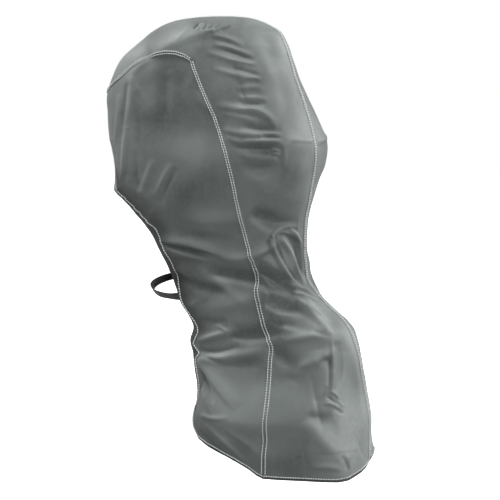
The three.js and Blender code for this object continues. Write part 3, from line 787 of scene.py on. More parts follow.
def cloth(way, angle, flank, part):
    """A point of the finished cloth on the port side, its painted light and shade, and how dark
    the painted shade on its hems and open front is.

    It is the smooth cover, moved outwards by its folds, a slight unevenness and its seams.
    The hems roll inwards beyond their stitch rows. part is front or back, the panel it is on.
    """
    way, angle = np.broadcast_arrays(np.asarray(way, float), np.asarray(angle, float))
    point = place(way, angle, flank)
    along, around, outwards = directions(way, angle, flank)
    down = depth_at(way)
    fade = smooth(-point[..., 1] / FLAT_AT_MIDDLE)
    point = point + lowered_corner(way, angle)
    seen = seen_at(point)
    folds = fold_heights(seen, flank["folds"]) * fade
    # Painted shade in the troughs of folds and painted highlight on their ridges, together with
    # the painted patches.
    painted_shading = FOLD_SHADING * np.clip(folds / STANDS_OUT, -1, 1) + painted_patches(seen)
    seed = 10 * flank["seed"]
    uneven = unevenness(way, angle, seed) * fade
    speeds = np.linalg.norm(along, axis=-1), np.linalg.norm(around, axis=-1)
    seams = all_seams(point, way, angle, speeds, seed)
    height = folds + uneven + seams
    bottom_off = (END - way) * speeds[0]
    rolled = np.clip(1 - bottom_off / BOTTOM_INSET, 0, 1)
    # Painted shade along the bottom hem.
    darkened = BOTTOM_PAINTED_SHADE * np.exp(-(bottom_off / PAINTED_SHADE_REACH) ** 2)
    hem_width = BOTTOM_INSET
    if part == "front":
        open_front = smooth((down - FREE_EDGE_TOP) / ROLL_STARTS)
        inset = in_table(HEM_INSET, down)
        off = edge_distance(way, angle, along, around)
        edge_rolled = np.clip(1 - off / inset, 0, 1) * open_front
        hem_width = np.where(edge_rolled > 0, inset, BOTTOM_INSET)
        rolled = np.maximum(edge_rolled, rolled)
        # The edge has no seam above it to follow once the front is open.
        beside_edge = folds + uneven + seams * smooth(off / SEAM_LEAVES_EDGE)
        height = np.where(down > FREE_EDGE_TOP, beside_edge, height)
        # Painted shade along the open front, fading away from the hem.
        edge_shade = in_table(EDGE_PAINTED_SHADE, down) * open_front
        beyond = np.maximum(off - inset, 0)
        darkened = np.maximum(darkened, edge_shade * np.exp(-(beyond / PAINTED_SHADE_REACH) ** 2))
    height = height - HEM_ROLL * hem_width * rolled ** HEM_ROLL_POWER
    # How dark the painted shade is on the hems and along the open front.
    painted_edge_shade = np.maximum(np.clip(rolled / HEM_DARK_FROM, 0, 1), darkened)
    return point + outwards * height[..., None], painted_shading, painted_edge_shade


# Meshes

def new_piece(name, points, faces, material, uv_maps=None, values=None, merged=True):
    """A smooth mesh object at the origin, from points in mm and arrays of faces.

    uv_maps are places in mm and values are numbers, both by point. merged joins points that
    meet.
    """
    mesh = bpy.data.meshes.new(name)
    every_face = [face for part in faces for face in part.tolist()]
    mesh.from_pydata((points * MM).tolist(), [], every_face)
    corners = np.empty(len(mesh.loops), np.int32)
    mesh.loops.foreach_get("vertex_index", corners)
    for map_name, places in (uv_maps or {}).items():
        layer = mesh.uv_layers.new(name=map_name)
        layer.data.foreach_set("uv", (places[corners] * MM).astype(np.float32).ravel())
    for value_name, numbers in (values or {}).items():
        layer = mesh.attributes.new(value_name, "FLOAT", "POINT")
        layer.data.foreach_set("value", numbers.astype(np.float32))
    if merged:
        form = bmesh.new()
        form.from_mesh(mesh)
        bmesh.ops.remove_doubles(form, verts=form.verts, dist=MERGE_WITHIN * MM)
        form.to_mesh(mesh)
        form.free()
    mesh.materials.append(material)
    mesh.shade_smooth()
    piece = bpy.data.objects.new(name, mesh)
    bpy.context.scene.collection.objects.link(piece)
    return piece


def grid_faces(rows, columns, start=0):
    """Quads of a grid of points, in the order that faces out on the port side."""
    i = start + np.arange(rows * columns).reshape(rows, columns)
    return np.stack([i[:-1, :-1], i[1:, :-1], i[1:, 1:], i[:-1, 1:]], -1).reshape(-1, 4)


def spaced(length, step, fine_start=True, fine_end=True):
    """Shares from 0 to 1 along a length, closer together at the ends that have a seam."""
    fine = np.array(FINE_STEPS)
    start = fine if fine_start else np.array([0.0])
    end = length - (fine if fine_end else np.array([0.0]))[::-1]
    middle = np.linspace(start[-1], end[0], max(2, int(round((end[0] - start[-1]) / step))) + 1)
    return np.concatenate([start[:-1], middle, end[1:]]) / length


def lengths_along(points, axis):
    """Distance travelled along one axis of a grid of points."""
    step = np.linalg.norm(np.diff(points, axis=axis), axis=-1)
    zero = np.zeros_like(np.take(step, [0], axis))
    return np.cumsum(np.concatenate([zero, step], axis), axis)


# Panels

def hem_turn(edge, inwards_face, into_cloth, opened, turned_under):
    """The turned-under hem beyond an edge: a half circle, then a strip back inside the cloth.

    opened is 1 where the edge is free and 0 where it is sewn, and scales the hem down to it.
    """
    turn = np.linspace(0, np.pi, HEM_POINTS)[1:]
    radius = TURN_RADIUS * opened[:, None, None]
    curl = edge[:, None] + inwards_face[:, None] * radius * (1 - np.cos(turn))[None, :, None]
    curl = curl - into_cloth[:, None] * radius * np.sin(turn)[None, :, None]
    run = np.linspace(0, turned_under, HEM_POINTS)[1:][None, :, None] * opened[:, None, None]
    strip = curl[:, -1:] + into_cloth[:, None] * run
    return np.concatenate([curl, strip], 1)


def front_panel(flank):
    """The grid of a front side panel: rows down from the arched seam, columns to the side seam.

    Rows follow the arch at the top and ease to level sections within ARCH_EASES. Each row's way
    and the free edge's angle on it depend on each other, so they are worked out by turns.
    """
    rows = spaced(END - CORNER_WAY, GRID_STEP)
    columns = spaced(FRONT_WIDTH, GRID_STEP)
    level = CORNER_WAY + rows[:, None] * (END - CORNER_WAY)
    ease = 1 - smooth((level - CORNER_WAY) / ARCH_EASES)
    way = level + 0 * columns[None, :]
    for _ in range(EDGE_ROUNDS):
        edge = free_edge_angle(way[:, 0])[:, None]
        angle = edge + (SIDE_SEAM - edge) * columns[None, :]
        way = level + ease * (arch_way(angle) - CORNER_WAY)
    opened = smooth((depth_at(way[:, 0]) - FREE_EDGE_TOP) / TURN_STARTS)
    return *cloth(way, angle, flank, "front"), way, angle, opened


def sew_panel(name, flank, grids, material, sizes):
    """Joins a panel's grids to one piece, mirrored to its side, and gives it thickness."""
    counts = [grid["points"].shape[:2] for grid in grids]
    starts = np.cumsum([0] + [rows * columns for rows, columns in counts])
    faces = [grid_faces(*count, start) for count, start in zip(counts, starts)]
    every = {
        key: np.concatenate([grid[key].reshape(-1, grid[key].shape[-1]) for grid in grids])
        for key in grids[0]
    }
    points = every["points"]
    if flank["side"] > 0:
        points = points * MIRROR
        faces = [part[:, ::-1] for part in faces]
    piece = new_piece(
        name, points, faces, material,
        uv_maps={key: every[key] for key in ("weave", "crown")},
        values={key: every[key][:, 0] for key in ("painted_shading", "hem", "crown_share", "facing_lit")},
    )
    wall = piece.modifiers.new("cloth thickness", "SOLIDIFY")
    wall.thickness = sizes.cloth_thickness
    wall.offset = -1
    return piece


def facing_light_share(points):
    """Painted light at each place: most where the cloth looks up, forwards or aft."""
    outwards = np.cross(np.gradient(points, axis=0), np.gradient(points, axis=1))
    size = np.maximum(np.linalg.norm(outwards, axis=-1), TINY)
    facing = (LIT_ALONG * np.abs(outwards[..., 0]) + LIT_UP * outwards[..., 2]) / size
    return smooth((facing - LIT_FROM) / (LIT_FULL - LIT_FROM))


def grid_of(points, weave, crown, painted_shading, painted_edge_shade, way):
    """One grid of a panel, with all that its piece and its material need.

    Its values are the painted light and shade of each place, how dark the painted shade on a hem
    or the open front is there, a share that is 1 where the weave is laid out round the top of the
    crown, and the painted light from the way each place faces.
    """
    shape = points.shape[:2]
    round_top = 1 - smooth((way / CORNER_WAY - CROWN_WEAVE_FROM) / CROWN_WEAVE_FADES)
    return {
        "points": points, "weave": weave, "crown": crown,
        "painted_shading": np.broadcast_to(painted_shading, shape)[..., None],
        "hem": np.broadcast_to(painted_edge_shade, shape)[..., None],
        "crown_share": np.broadcast_to(round_top, shape)[..., None],
        "facing_lit": facing_light_share(points)[..., None],
    }


def weave_places(points, way, seam_column):
    """Places on the cloth in mm: length round from the side seam, and the way down."""
    across = lengths_along(points, 1)
    across = across - across[:, [seam_column]]
    return np.stack([across, way], -1)


def crown_places(way, angle):
    """Places on the cloth over the crown, as if it were laid flat round its top."""
    return np.stack([-way * np.cos(angle), way * np.sin(angle)], -1)


def bottom_hem(points, weave, painted_shading, turned_under):
    """The grid of the turned-under hem below a panel's lowest row."""
    last = points[-1]
    into = unit(points[-2] - last)
    round_edge = unit(np.gradient(last, axis=0))
    inwards = -unit(np.cross(-into, round_edge))
    turn = hem_turn(last, inwards, into, np.ones(len(last)), turned_under)
    grid = np.concatenate([last[:, None], turn], 1).swapaxes(0, 1)
    drop = lengths_along(grid, 0)
    places = weave[-1][None] + np.stack([0 * drop, drop], -1)
    return grid_of(grid, places, places, painted_shading[-1], 1.0, END)


def front_hem(points, weave, painted_shading, opened, turned_under):
    """The grid of the turned-under hem in front of a panel's free edge."""
    edge = points[:, 0]
    into = unit(points[:, 1] - edge)
    down_edge = unit(np.gradient(edge, axis=0))
    inwards = -unit(np.cross(down_edge, into))
    turn = hem_turn(edge, inwards, into, opened, turned_under)[:, ::-1]
    grid = np.concatenate([turn, edge[:, None]], 1)
    back = lengths_along(grid, 1)
    places = weave[:, [0]] + np.stack([back - back[:, [-1]], 0 * back], -1)
    return grid_of(grid, places, places, painted_shading[:, [0]], 1.0, END)


def front_side_grids(flank, turned_under):
    """All grids of a front side panel."""
    points, painted_shading, painted_edge_shade, way, angle, opened = front_panel(flank)
    weave = weave_places(points, way, -1)
    return [
        grid_of(points, weave, crown_places(way, angle), painted_shading, painted_edge_shade, way),
        front_hem(points, weave, painted_shading, opened, turned_under),
        bottom_hem(points, weave, painted_shading, turned_under),
    ]


def top_and_back_grids(flank, turned_under):
    """All grids of a top and back panel: rings out from the crown, then rows down the back."""
    over = spaced(FRONT_WIDTH, GRID_STEP) * SIDE_SEAM
    round_back = SIDE_SEAM + spaced(BACK_WIDTH, GRID_STEP) * (BACK_SEAM - SIDE_SEAM)
    angle = np.concatenate([over[:-1], round_back])[None, :]
    rings = spaced(CROWN_REACH, GRID_STEP, fine_start=False)[:, None]
    way = rings * arch_way(np.minimum(angle, SIDE_SEAM))
    angle = angle + 0 * way
    points, painted_shading, painted_edge_shade = cloth(way, angle, flank, "back")
    weave = weave_places(points, way, len(over) - 1)
    top = grid_of(points, weave, crown_places(way, angle), painted_shading, painted_edge_shade, way)
    length = END - CORNER_WAY
    way = CORNER_WAY + spaced(length, GRID_STEP, fine_start=False)[:, None] * length
    way, angle = np.broadcast_arrays(way, round_back[None, :])
    points, painted_shading, painted_edge_shade = cloth(way, angle, flank, "back")
    weave = weave_places(points, way, 0)
    return [
        top,
        grid_of(points, weave, crown_places(way, angle), painted_shading, painted_edge_shade, way),
        bottom_hem(points, weave, painted_shading, turned_under),
    ]


# Stitches

def stitch_row(way, angle, flank, part, pitch):
    """Stitches along one row: a point every pitch, its way along, and outwards."""
    points = cloth(way, angle, flank, part)[0]
    step = 2.0
    along, around, _ = directions(way, angle, flank)
    speed_down, speed_round = np.linalg.norm(along, axis=-1), np.linalg.norm(around, axis=-1)
    below = cloth(way + step / speed_down, angle, flank, part)[0]
    beside = cloth(way, angle + step / speed_round, flank, part)[0]
    outwards = unit(np.cross(below - points, beside - points))
    travelled = np.concatenate([[0], np.cumsum(np.linalg.norm(np.diff(points, axis=0), axis=1))])
    at = np.arange(pitch / 2, travelled[-1] - pitch / 2, pitch)
    tangent = np.gradient(points, travelled, axis=0)
    centre, tangent, outwards = (
        np.stack([np.interp(at, travelled, column) for column in values.T], -1)
        for values in (points, tangent, outwards)
    )
    return centre, unit(tangent), unit(outwards)


def capsules(centre, tangent, outwards, length, width):
    """A small closed thread for each stitch: six-sided rings that close to a point at each end.

    It bows outwards over its length, so that its ends dip into the cloth.
    """
    ends = np.array((-1.0, -0.82, -0.3, 0.3, 0.82, 1.0))
    round_share = np.array((0.0, 0.72, 1.0, 1.0, 0.72, 0.0))
    side = unit(np.cross(tangent, outwards))
    turn = np.arange(STITCH_SIDES) * 2 * np.pi / STITCH_SIDES
    spine = (
        centre[:, None]
        + tangent[:, None] * (ends * length / 2)[None, :, None]
        + outwards[:, None] * (STITCH_LIFT - STITCH_DIP * ends ** 2)[None, :, None]
    )
    ring = (
        side[:, None] * np.cos(turn)[None, :, None] * width / 2
        + outwards[:, None] * np.sin(turn)[None, :, None] * width / 2
    )
    rings = spine[:, 1:-1, None] + ring[:, None] * round_share[None, 1:-1, None, None]
    points = np.concatenate([spine[:, :1], rings.reshape(len(centre), -1, 3), spine[:, -1:]], 1)
    k = np.arange(STITCH_SIDES)
    after = (k + 1) % STITCH_SIDES
    starts = 1 + STITCH_SIDES * np.arange(len(ends) - 2)
    first = np.stack([0 * k, starts[0] + after, starts[0] + k], -1)
    bands = [
        np.stack([upper + k, upper + after, lower + after, lower + k], -1)
        for upper, lower in zip(starts[:-1], starts[1:])
    ]
    tip = starts[-1] + STITCH_SIDES
    last = np.stack([0 * k + tip, starts[-1] + k, starts[-1] + after], -1)
    return points, first, np.concatenate(bands), last


def topstitching(name, flank, rows, part, material, sizes):
    """One piece for all stitches on a panel."""
    pitch = (sizes.stitch_length + sizes.stitch_gap) / MM
    made = [stitch_row(way, angle, flank, part, pitch) for way, angle in rows]
    centre, tangent, outwards = (np.concatenate(values) for values in zip(*made))
    points, first, bands, last = capsules(
        centre, tangent, outwards, sizes.stitch_length / MM, sizes.thread_width / MM,
    )
    start = (np.arange(len(centre)) * points.shape[1])[:, None, None]
    points = points.reshape(-1, 3)
    triangles = np.concatenate([first, last])[None] + start
    quads = bands[None] + start
    if flank["side"] > 0:
        points = points * MIRROR
        triangles, quads = triangles[..., ::-1], quads[..., ::-1]
    return new_piece(
        name, points, [triangles.reshape(-1, 3), quads.reshape(-1, 4)], material, merged=False,
    )


def seam_offset(way, angle, flank):
    """The turn round the section that moves half a seam's gap sideways."""
    speed = np.linalg.norm(directions(way, angle, flank)[1], axis=-1)
    return np.arcsin(np.clip(half_gap(depth_at(way)) / np.maximum(speed, TINY), 0, 1))


def arch_row(flank, side):
    """A row beside the arched seam: side is 1 below it and -1 above it."""
    angle = np.linspace(0.0, SIDE_SEAM, ARCH_POINTS)
    way = arch_way(angle)
    speed = np.linalg.norm(directions(way, angle, flank)[0], axis=-1)
    return way + side * half_gap(depth_at(way)) / speed, angle


def side_row(flank, side):
    """A row beside the side seam: side is 1 aft of it and -1 in front of it."""
    way = np.linspace(CORNER_WAY + SIDE_ROW_STARTS, END - BOTTOM_INSET, SIDE_POINTS)
    return way, SIDE_SEAM + side * seam_offset(way, SIDE_SEAM + 0 * way, flank)


def front_row(flank):
    """The row that runs down beside the front seam and goes on inside the free front edge.

    The turn that gives the inset is worked out by turns, from the speeds halfway to it.
    """
    way = np.linspace(arch_way(0.0) + ROW_STARTS, END - BOTTOM_INSET, FRONT_POINTS)
    down = depth_at(way)
    inset = np.where(down < FREE_EDGE_TOP, half_gap(down), in_table(HEM_INSET, down))
    edge = free_edge_angle(way)
    turn = (free_edge_angle(way + 1) - free_edge_angle(way - 1)) / 2
    angle = edge
    for _ in range(INSET_ROUNDS):
        along, around, _ = directions(way, (edge + angle) / 2, flank)
        edge_line = unit(along + turn[:, None] * around)
        square = np.linalg.norm(np.cross(around, edge_line), axis=-1)
        angle = edge + inset / np.maximum(square, 1.0)
    return way, angle


def bottom_row(flank, first, last):
    """The row above the bottom hem between two angles."""
    angle = np.linspace(first, last, BOTTOM_POINTS)
    speed = np.linalg.norm(directions(END + 0 * angle, angle, flank)[0], axis=-1)
    return END - BOTTOM_INSET / speed, angle


def centre_row(flank):
    """The row beside the centre seam: from the arch back over the crown, and down the back."""
    way = np.linspace(1.0, 1.0 + END, CENTRE_POINTS)
    front = way[way < arch_way(0.0) - ROW_STARTS][::-1]
    over = seam_offset(front, 0 * front, flank)
    back = way[way < END - BOTTOM_INSET]
    behind = BACK_SEAM - seam_offset(back, BACK_SEAM + 0 * back, flank)
    front_keep, back_keep = over < CROWN_TURN, behind > BACK_SEAM - CROWN_TURN
    way = np.concatenate([front[front_keep], back[back_keep]])
    return way, np.concatenate([over[front_keep], behind[back_keep]])


# Strap

def strap_end(flank, depth, width):
    """Stations of a sewn strap end, from inside the panel out to its edge: places and lies."""
    way = way_to(depth)
    above = folded(way - width / 2, STRAP_END_ANGLES, flank)
    below = folded(way + width / 2, STRAP_END_ANGLES, flank)
    outwards = directions(way + 0 * STRAP_END_ANGLES, STRAP_END_ANGLES, flank)[2]
    lie = unit(above - below)
    point = (above + below) / 2 - outwards * STRAP_INSIDE
    mirror = np.array((1, -flank["side"], 1))
    return point * mirror, lie * mirror


def strap_grid(width, thickness):
    """Rings of the strap: a flat band with round edges, carried along a curve.

    The curve is a cubic through its stations, its slopes those of the parabola through three
    neighbours, and its knots the summed roots of the stations' distances. The band's width
    follows the lie that is carried along in the same way.
    """
    port = strap_end(PORT, STRAP_PORT_DEPTH, width)
    starboard = strap_end(STARBOARD, STRAP_STARBOARD_DEPTH, width)
    out = unit((STRAP_BOW - (STRAP_BOW_CENTRE, 0, 0)) * (1, 1, 0))
    bow_lie = unit(out * STRAP_LEAN + (0, 0, 1))
    stations = np.concatenate([port[0], STRAP_BOW, starboard[0][::-1]])
    lies = np.concatenate([port[1], bow_lie, starboard[1][::-1]])
    step = np.sqrt(np.linalg.norm(np.diff(stations, axis=0), axis=1))
    knots = np.concatenate([[0], np.cumsum(step)])
    at = np.linspace(0, knots[-1], STRAP_RINGS)
    centre = cubic(knots, stations, parabola_slopes(knots, stations), at)
    lie = cubic(knots, lies, parabola_slopes(knots, lies), at)
    tangent = unit(np.gradient(centre, axis=0))
    through = unit(np.cross(tangent, lie))
    across = unit(np.cross(through, tangent))
    turn = np.linspace(0, 2 * np.pi, STRAP_PROFILE + 1)
    c, s = np.cos(turn), np.sin(turn)
    u = width / 2 * np.sign(c) * np.abs(c) ** STRAP_FLATNESS[0]
    v = thickness / 2 * np.sign(s) * np.abs(s) ** STRAP_FLATNESS[1]
    rings = centre[:, None] + across[:, None] * u[:, None] + through[:, None] * v[:, None]
    travelled = lengths_along(centre, 0)
    girth = np.concatenate([[0], np.cumsum(np.hypot(np.diff(u), np.diff(v)))])
    places = np.stack(np.broadcast_arrays(girth[None, :], travelled[:, None]), -1)
    return rings, places


def closed_band(name, rings, places, material):
    """A piece from rings that close round it, with a flat cap at each end."""
    rows, columns = rings.shape[:2]
    faces = grid_faces(rows, columns)
    ring = np.arange(columns - 1)
    caps = np.stack([ring[::-1], (rows - 1) * columns + ring])
    return new_piece(
        name, rings.reshape(-1, 3), [faces, caps], material,
        uv_maps={"webbing": places.reshape(-1, 2)},
    )


# Materials

def linear(hex_colour):
    """A colour such as "9CA3A1", from sRGB to linear, with full opacity."""
    value = np.array([int(hex_colour[i:i + 2], 16) for i in (0, 2, 4)]) / 255
    value = np.where(value <= 0.04045, value / 12.92, ((value + 0.055) / 1.055) ** 2.4)
    return (*(float(v) for v in value), 1.0)


def add_node(tree, kind, inputs=None, out=None, **settings):
    """A node with its settings, and its inputs set or linked; with out, that output of it."""
    node = tree.nodes.new(kind)
    for name, value in settings.items():
        setattr(node, name, value)
    for name, value in (inputs or {}).items():
        if isinstance(value, bpy.types.NodeSocket):
            tree.links.new(value, node.inputs[name])
        else:
            node.inputs[name].default_value = value
    return node if out is None else node.outputs[out]


def new_material(name):
    """An empty node material, its tree, its output's surface socket and its Object places."""
    material = bpy.data.materials.new(name)
    material.use_nodes = True
    tree = material.node_tree
    tree.nodes.clear()
    output = add_node(tree, "ShaderNodeOutputMaterial")
    places = add_node(tree, "ShaderNodeTexCoord", out="Object")
    return material, tree, output.inputs["Surface"], places


def lumps(mm):
    """The scale at which noise has lumps of about that size."""
    return 1 / (mm * MM)


def woven(tree, uv_map, pitch):
    """Heights of a plain weave: the product of two sines, so that neighbours alternate."""
    places = add_node(tree, "ShaderNodeUVMap", out="UV", uv_map=uv_map)
    split = add_node(tree, "ShaderNodeSeparateXYZ", {"Vector": places})
    waves = []
    for axis in ("X", "Y"):
        turns = add_node(
            tree, "ShaderNodeMath", {0: split.outputs[axis], 1: np.pi / (pitch * MM)}, 0,
            operation="MULTIPLY",
        )
        waves.append(add_node(tree, "ShaderNodeMath", {0: turns}, 0, operation="SINE"))
    return add_node(tree, "ShaderNodeMath", {0: waves[0], 1: waves[1]}, 0, operation="MULTIPLY")


def layered(tree, colour, layers):
    """A first colour, and over it layers of others, each by a share that varies."""
    for share, layer in layers:
        colour = add_node(
            tree, "ShaderNodeMix", {"Factor": share, 6: colour, 7: layer}, 2, data_type="RGBA",
        )
    return colour


def cover_cloth(colours):
    """Coated polyester canvas, plain woven from a thick yarn and coated on its inside.

    It is matt with a faint sheen. Painted shade darkens the troughs of its folds and painted
    highlight lightens their ridges; painted light pales the faces that look up, forwards or aft,
    and soft patches add painted light and shade. It is paler in flecks where its yarn is rubbed,
    and painted shade darkens the hems and the open front.
    """
    material, tree, surface, places = new_material("coated polyester canvas")
    painted_shading, hem, crown, facing_lit = (
        add_node(tree, "ShaderNodeAttribute", out="Fac", attribute_name=name)
        for name in ("painted_shading", "hem", "crown_share", "facing_lit")
    )
    cloud, rub, crinkle = (
        add_node(
            tree, "ShaderNodeTexNoise",
            {"Vector": places, "Scale": lumps(size), "Detail": detail, "Roughness": rough}, "Fac",
        )
        for size, detail, rough in ((CLOUD, 3.0, 0.5), (RUB, 4.0, 0.6), (CRINKLE, 3.0, 0.55))
    )
    # Painted light where the cloth faces up, forwards or aft, and painted shade where it faces
    # elsewhere.
    facing_light = add_node(
        tree, "ShaderNodeMapRange", {"Value": facing_lit, "To Min": -0.35, "To Max": 0.5}, "Result",
    )
    mottle_and_painted_light = cloud
    for part in (painted_shading, facing_light):
        mottle_and_painted_light = add_node(tree, "ShaderNodeMath", {0: mottle_and_painted_light, 1: part}, 0, operation="ADD")
    # Each layer: the value that it follows, where it begins and is full, its most and colour. The
    # first two layers carry random mottling with painted light and shade, the third rubbed
    # flecks, and the last the painted shade of the hems and open front.
    layers = (
        (mottle_and_painted_light, -0.2, 1.2, 1.0, colours.cloth),
        (mottle_and_painted_light, 1.1, 2.2, 1.0, colours.cloth_painted_light),
        (rub, 0.35, 0.65, 0.22, colours.cloth_rubbed),
        (hem, 0.0, 1.0, 0.9, colours.hem),
    )
    colour = layered(tree, colours.cloth_shade, [
        (add_node(
            tree, "ShaderNodeMapRange",
            {"Value": value, "From Min": low, "From Max": high, "To Max": most}, "Result",
        ), layer)
        for value, low, high, most, layer in layers
    ])
    flat, round_crown = woven(tree, "weave", WEAVE_PITCH), woven(tree, "crown", WEAVE_PITCH)
    threads = add_node(
        tree, "ShaderNodeMix", {0: crown, 2: flat, 3: round_crown}, 0, data_type="FLOAT",
    )
    crinkled = add_node(
        tree, "ShaderNodeBump",
        {"Strength": 0.35, "Distance": 1.2 * MM, "Height": crinkle}, "Normal",
    )
    bumped = add_node(
        tree, "ShaderNodeBump",
        {"Strength": 0.4, "Distance": 0.12 * MM, "Height": threads, "Normal": crinkled}, "Normal",
    )
    dullness = add_node(tree, "ShaderNodeMapRange", {
        "Value": rub, "From Min": 0.3, "From Max": 0.7, "To Min": 0.44, "To Max": 0.58,
    }, "Result")
    shader = add_node(tree, "ShaderNodeBsdfPrincipled", {
        "Base Color": colour, "Roughness": dullness, "Normal": bumped, "IOR": 1.5,
        "Sheen Weight": 0.12, "Sheen Roughness": 0.5,
    }, "BSDF")
    tree.links.new(shader, surface)
    return material


def sewing_thread(colours):
    """Bonded polyester thread: three plies twisted and bonded, smooth and a little shiny."""
    material, tree, surface, places = new_material("bonded polyester thread")
    soil, ply = (
        add_node(
            tree, "ShaderNodeTexNoise",
            {"Vector": places, "Scale": lumps(size), "Detail": detail, "Roughness": 0.5}, "Fac",
        )
        for size, detail in ((THREAD_SOIL, 3.0), (PLY, 2.0))
    )
    darkened = add_node(
        tree, "ShaderNodeMapRange", {"Value": soil, "From Min": 0.3, "From Max": 0.7}, "Result",
    )
    bumped = add_node(
        tree, "ShaderNodeBump", {"Strength": 0.5, "Distance": 0.2 * MM, "Height": ply}, "Normal",
    )
    dullness = add_node(tree, "ShaderNodeMapRange", {
        "Value": ply, "From Min": 0.3, "From Max": 0.7, "To Min": 0.35, "To Max": 0.5,
    }, "Result")
    shader = add_node(tree, "ShaderNodeBsdfPrincipled", {
        "Base Color": layered(tree, colours.thread, [(darkened, colours.thread_soiled)]),
        "Roughness": dullness, "Normal": bumped, "IOR": 1.54,
    }, "BSDF")
    tree.links.new(shader, surface)
    return material


def strap_webbing(colours):
    """Polypropylene webbing, woven in narrow ribs: black, with a dull shine on each rib."""
    material, tree, surface, places = new_material("polypropylene webbing")
    ribs = woven(tree, "webbing", WEBBING_PITCH)
    wear = add_node(
        tree, "ShaderNodeTexNoise",
        {"Vector": places, "Scale": lumps(WEBBING_WEAR), "Detail": 3.0, "Roughness": 0.5}, "Fac",
    )
    share = add_node(
        tree, "ShaderNodeMath", {0: ribs, 1: 0.25, 2: wear}, 0, operation="MULTIPLY_ADD",
    )
    worn = add_node(
        tree, "ShaderNodeMapRange", {"Value": share, "From Min": 0.3, "From Max": 0.9}, "Result",
    )
    bumped = add_node(
        tree, "ShaderNodeBump", {"Strength": 0.6, "Distance": 0.4 * MM, "Height": ribs}, "Normal",
    )
    dullness = add_node(tree, "ShaderNodeMapRange", {
        "Value": ribs, "From Min": -1.0, "To Min": 0.6, "To Max": 0.42,
    }, "Result")
    shader = add_node(tree, "ShaderNodeBsdfPrincipled", {
        "Base Color": layered(tree, colours.webbing, [(worn, colours.webbing_worn)]),
        "Roughness": dullness, "Normal": bumped, "IOR": 1.49, "Sheen Weight": 0.08,
    }, "BSDF")
    tree.links.new(shader, surface)
    return material


def studio_paper(colours):
    """Matt backdrop paper, unrolled over the floor, with a faint grain.

    It looks as pale as the backdrop, and that glow is only seen: it lights nothing.
    """
    material, tree, surface, places = new_material("matt backdrop paper")
    grain = add_node(
        tree, "ShaderNodeTexNoise",
        {"Vector": places, "Scale": lumps(PAPER_GRAIN), "Detail": 2.0, "Roughness": 0.5}, "Fac",
    )
    grainy = add_node(
        tree, "ShaderNodeMapRange", {"Value": grain, "From Min": 0.3, "From Max": 0.7}, "Result",
    )
    colour = layered(tree, colours.floor, [(grainy, colours.floor_grain)])
    dullness = add_node(tree, "ShaderNodeMapRange", {
        "Value": grain, "From Min": 0.3, "From Max": 0.7, "To Min": 0.85, "To Max": 0.95,
    }, "Result")
    seen = add_node(tree, "ShaderNodeLightPath", out="Is Camera Ray")
    glow = add_node(tree, "ShaderNodeMapRange", {"Value": seen, "To Max": FLOOR_GLOW}, "Result")
    shader = add_node(tree, "ShaderNodeBsdfPrincipled", {
        "Base Color": colour, "Roughness": dullness,
        "Emission Color": colour, "Emission Strength": glow,
    }, "BSDF")
    tree.links.new(shader, surface)
    return material


# What a user sees

def colour_property(name, description, hex_colour):
    """A colour property with its default given in sRGB hex."""
    return bpy.props.FloatVectorProperty(
        name=name, description=description, subtype="COLOR", size=4, min=0, max=1,
        default=linear(hex_colour),
    )


def length_property(name, description, mm):
    """A length property in metres with its default given in mm."""
    return bpy.props.FloatProperty(
        name=name, description=description, default=mm * MM, min=0, subtype="DISTANCE",
        unit="LENGTH", precision=4,
    )


class MotorCoverSizes(bpy.types.PropertyGroup):
    """Sizes of the cover's cloth, thread and strap."""

    cloth_thickness: length_property("Cloth thickness", "Thickness of the coated canvas", 1.0)
    turned_under: length_property("Turned under", "Width of the hem inside the cloth", 14.0)
    stitch_length: length_property("Stitch length", "Length of a stitch that shows", 7.0)
    stitch_gap: length_property("Stitch gap", "Cloth between two stitches", 1.3)
    thread_width: length_property("Thread width", "Width of the sewing thread", 4.1)
    strap_width: length_property("Strap width", "Width of the webbing", 25.0)
    strap_thickness: length_property("Strap thickness", "Thickness of the webbing", 2.0)


class MotorCoverColours(bpy.types.PropertyGroup):
    """Colours of the cover and the floor."""

    cloth: colour_property("Cloth", "The canvas where it is fullest", "9CA3A1")
    cloth_shade: colour_property("Cloth, shaded", "The canvas in its troughs", "555C5A")
    # The cloth at its palest painted light.
    cloth_painted_light: colour_property("Cloth, faded", "The canvas at its most bleached", "B9C0BE")
    cloth_rubbed: colour_property("Cloth, rubbed", "Flecks where the yarn is rubbed", "8B9290")
    # Painted shade on the hems and along the open front.
    hem: colour_property("Hem", "The doubled cloth outside the hem's stitches", "2C3130")
    thread: colour_property("Thread", "The sewing thread", "F6FBF9")
    thread_soiled: colour_property("Thread, soiled", "The thread where it is soiled", "E6ECEA")
    webbing: colour_property("Webbing", "The strap", "0C0D0E")
    webbing_worn: colour_property("Webbing, worn", "The strap on its worn ribs", "242627")
    floor: colour_property("Floor", "The backdrop paper", "F1F1F0")
    floor_grain: colour_property("Floor grain", "The grain of the backdrop paper", "ECECEB")


def sizes_and_colours(context):
    """The scene's sizes and colours for the cover."""
    return context.scene.motor_cover_sizes, context.scene.motor_cover_colours


def made_once(name, make, colours):
    """The material of that name, made if it isn't there yet."""
    return bpy.data.materials.get(name) or make(colours)


class MOTOR_COVER_OT_front_sides(bpy.types.Operator):
    """Sew the two front side panels, from the arched seam down to the hem"""

    bl_idname = "motor_cover.front_sides"
    bl_label = "Front side panels"

    def execute(self, context):
        sizes, colours = sizes_and_colours(context)
        cloth_finish = made_once("coated polyester canvas", cover_cloth, colours)
        for flank in FLANKS:
            piece = sew_panel(
                f"front_side_cloth_{flank['name']}", flank,
                front_side_grids(flank, sizes.turned_under / MM), cloth_finish, sizes,
            )
            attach(piece, "root")
            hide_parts(f"front_side_panel_{flank['name']}")
        return {"FINISHED"}


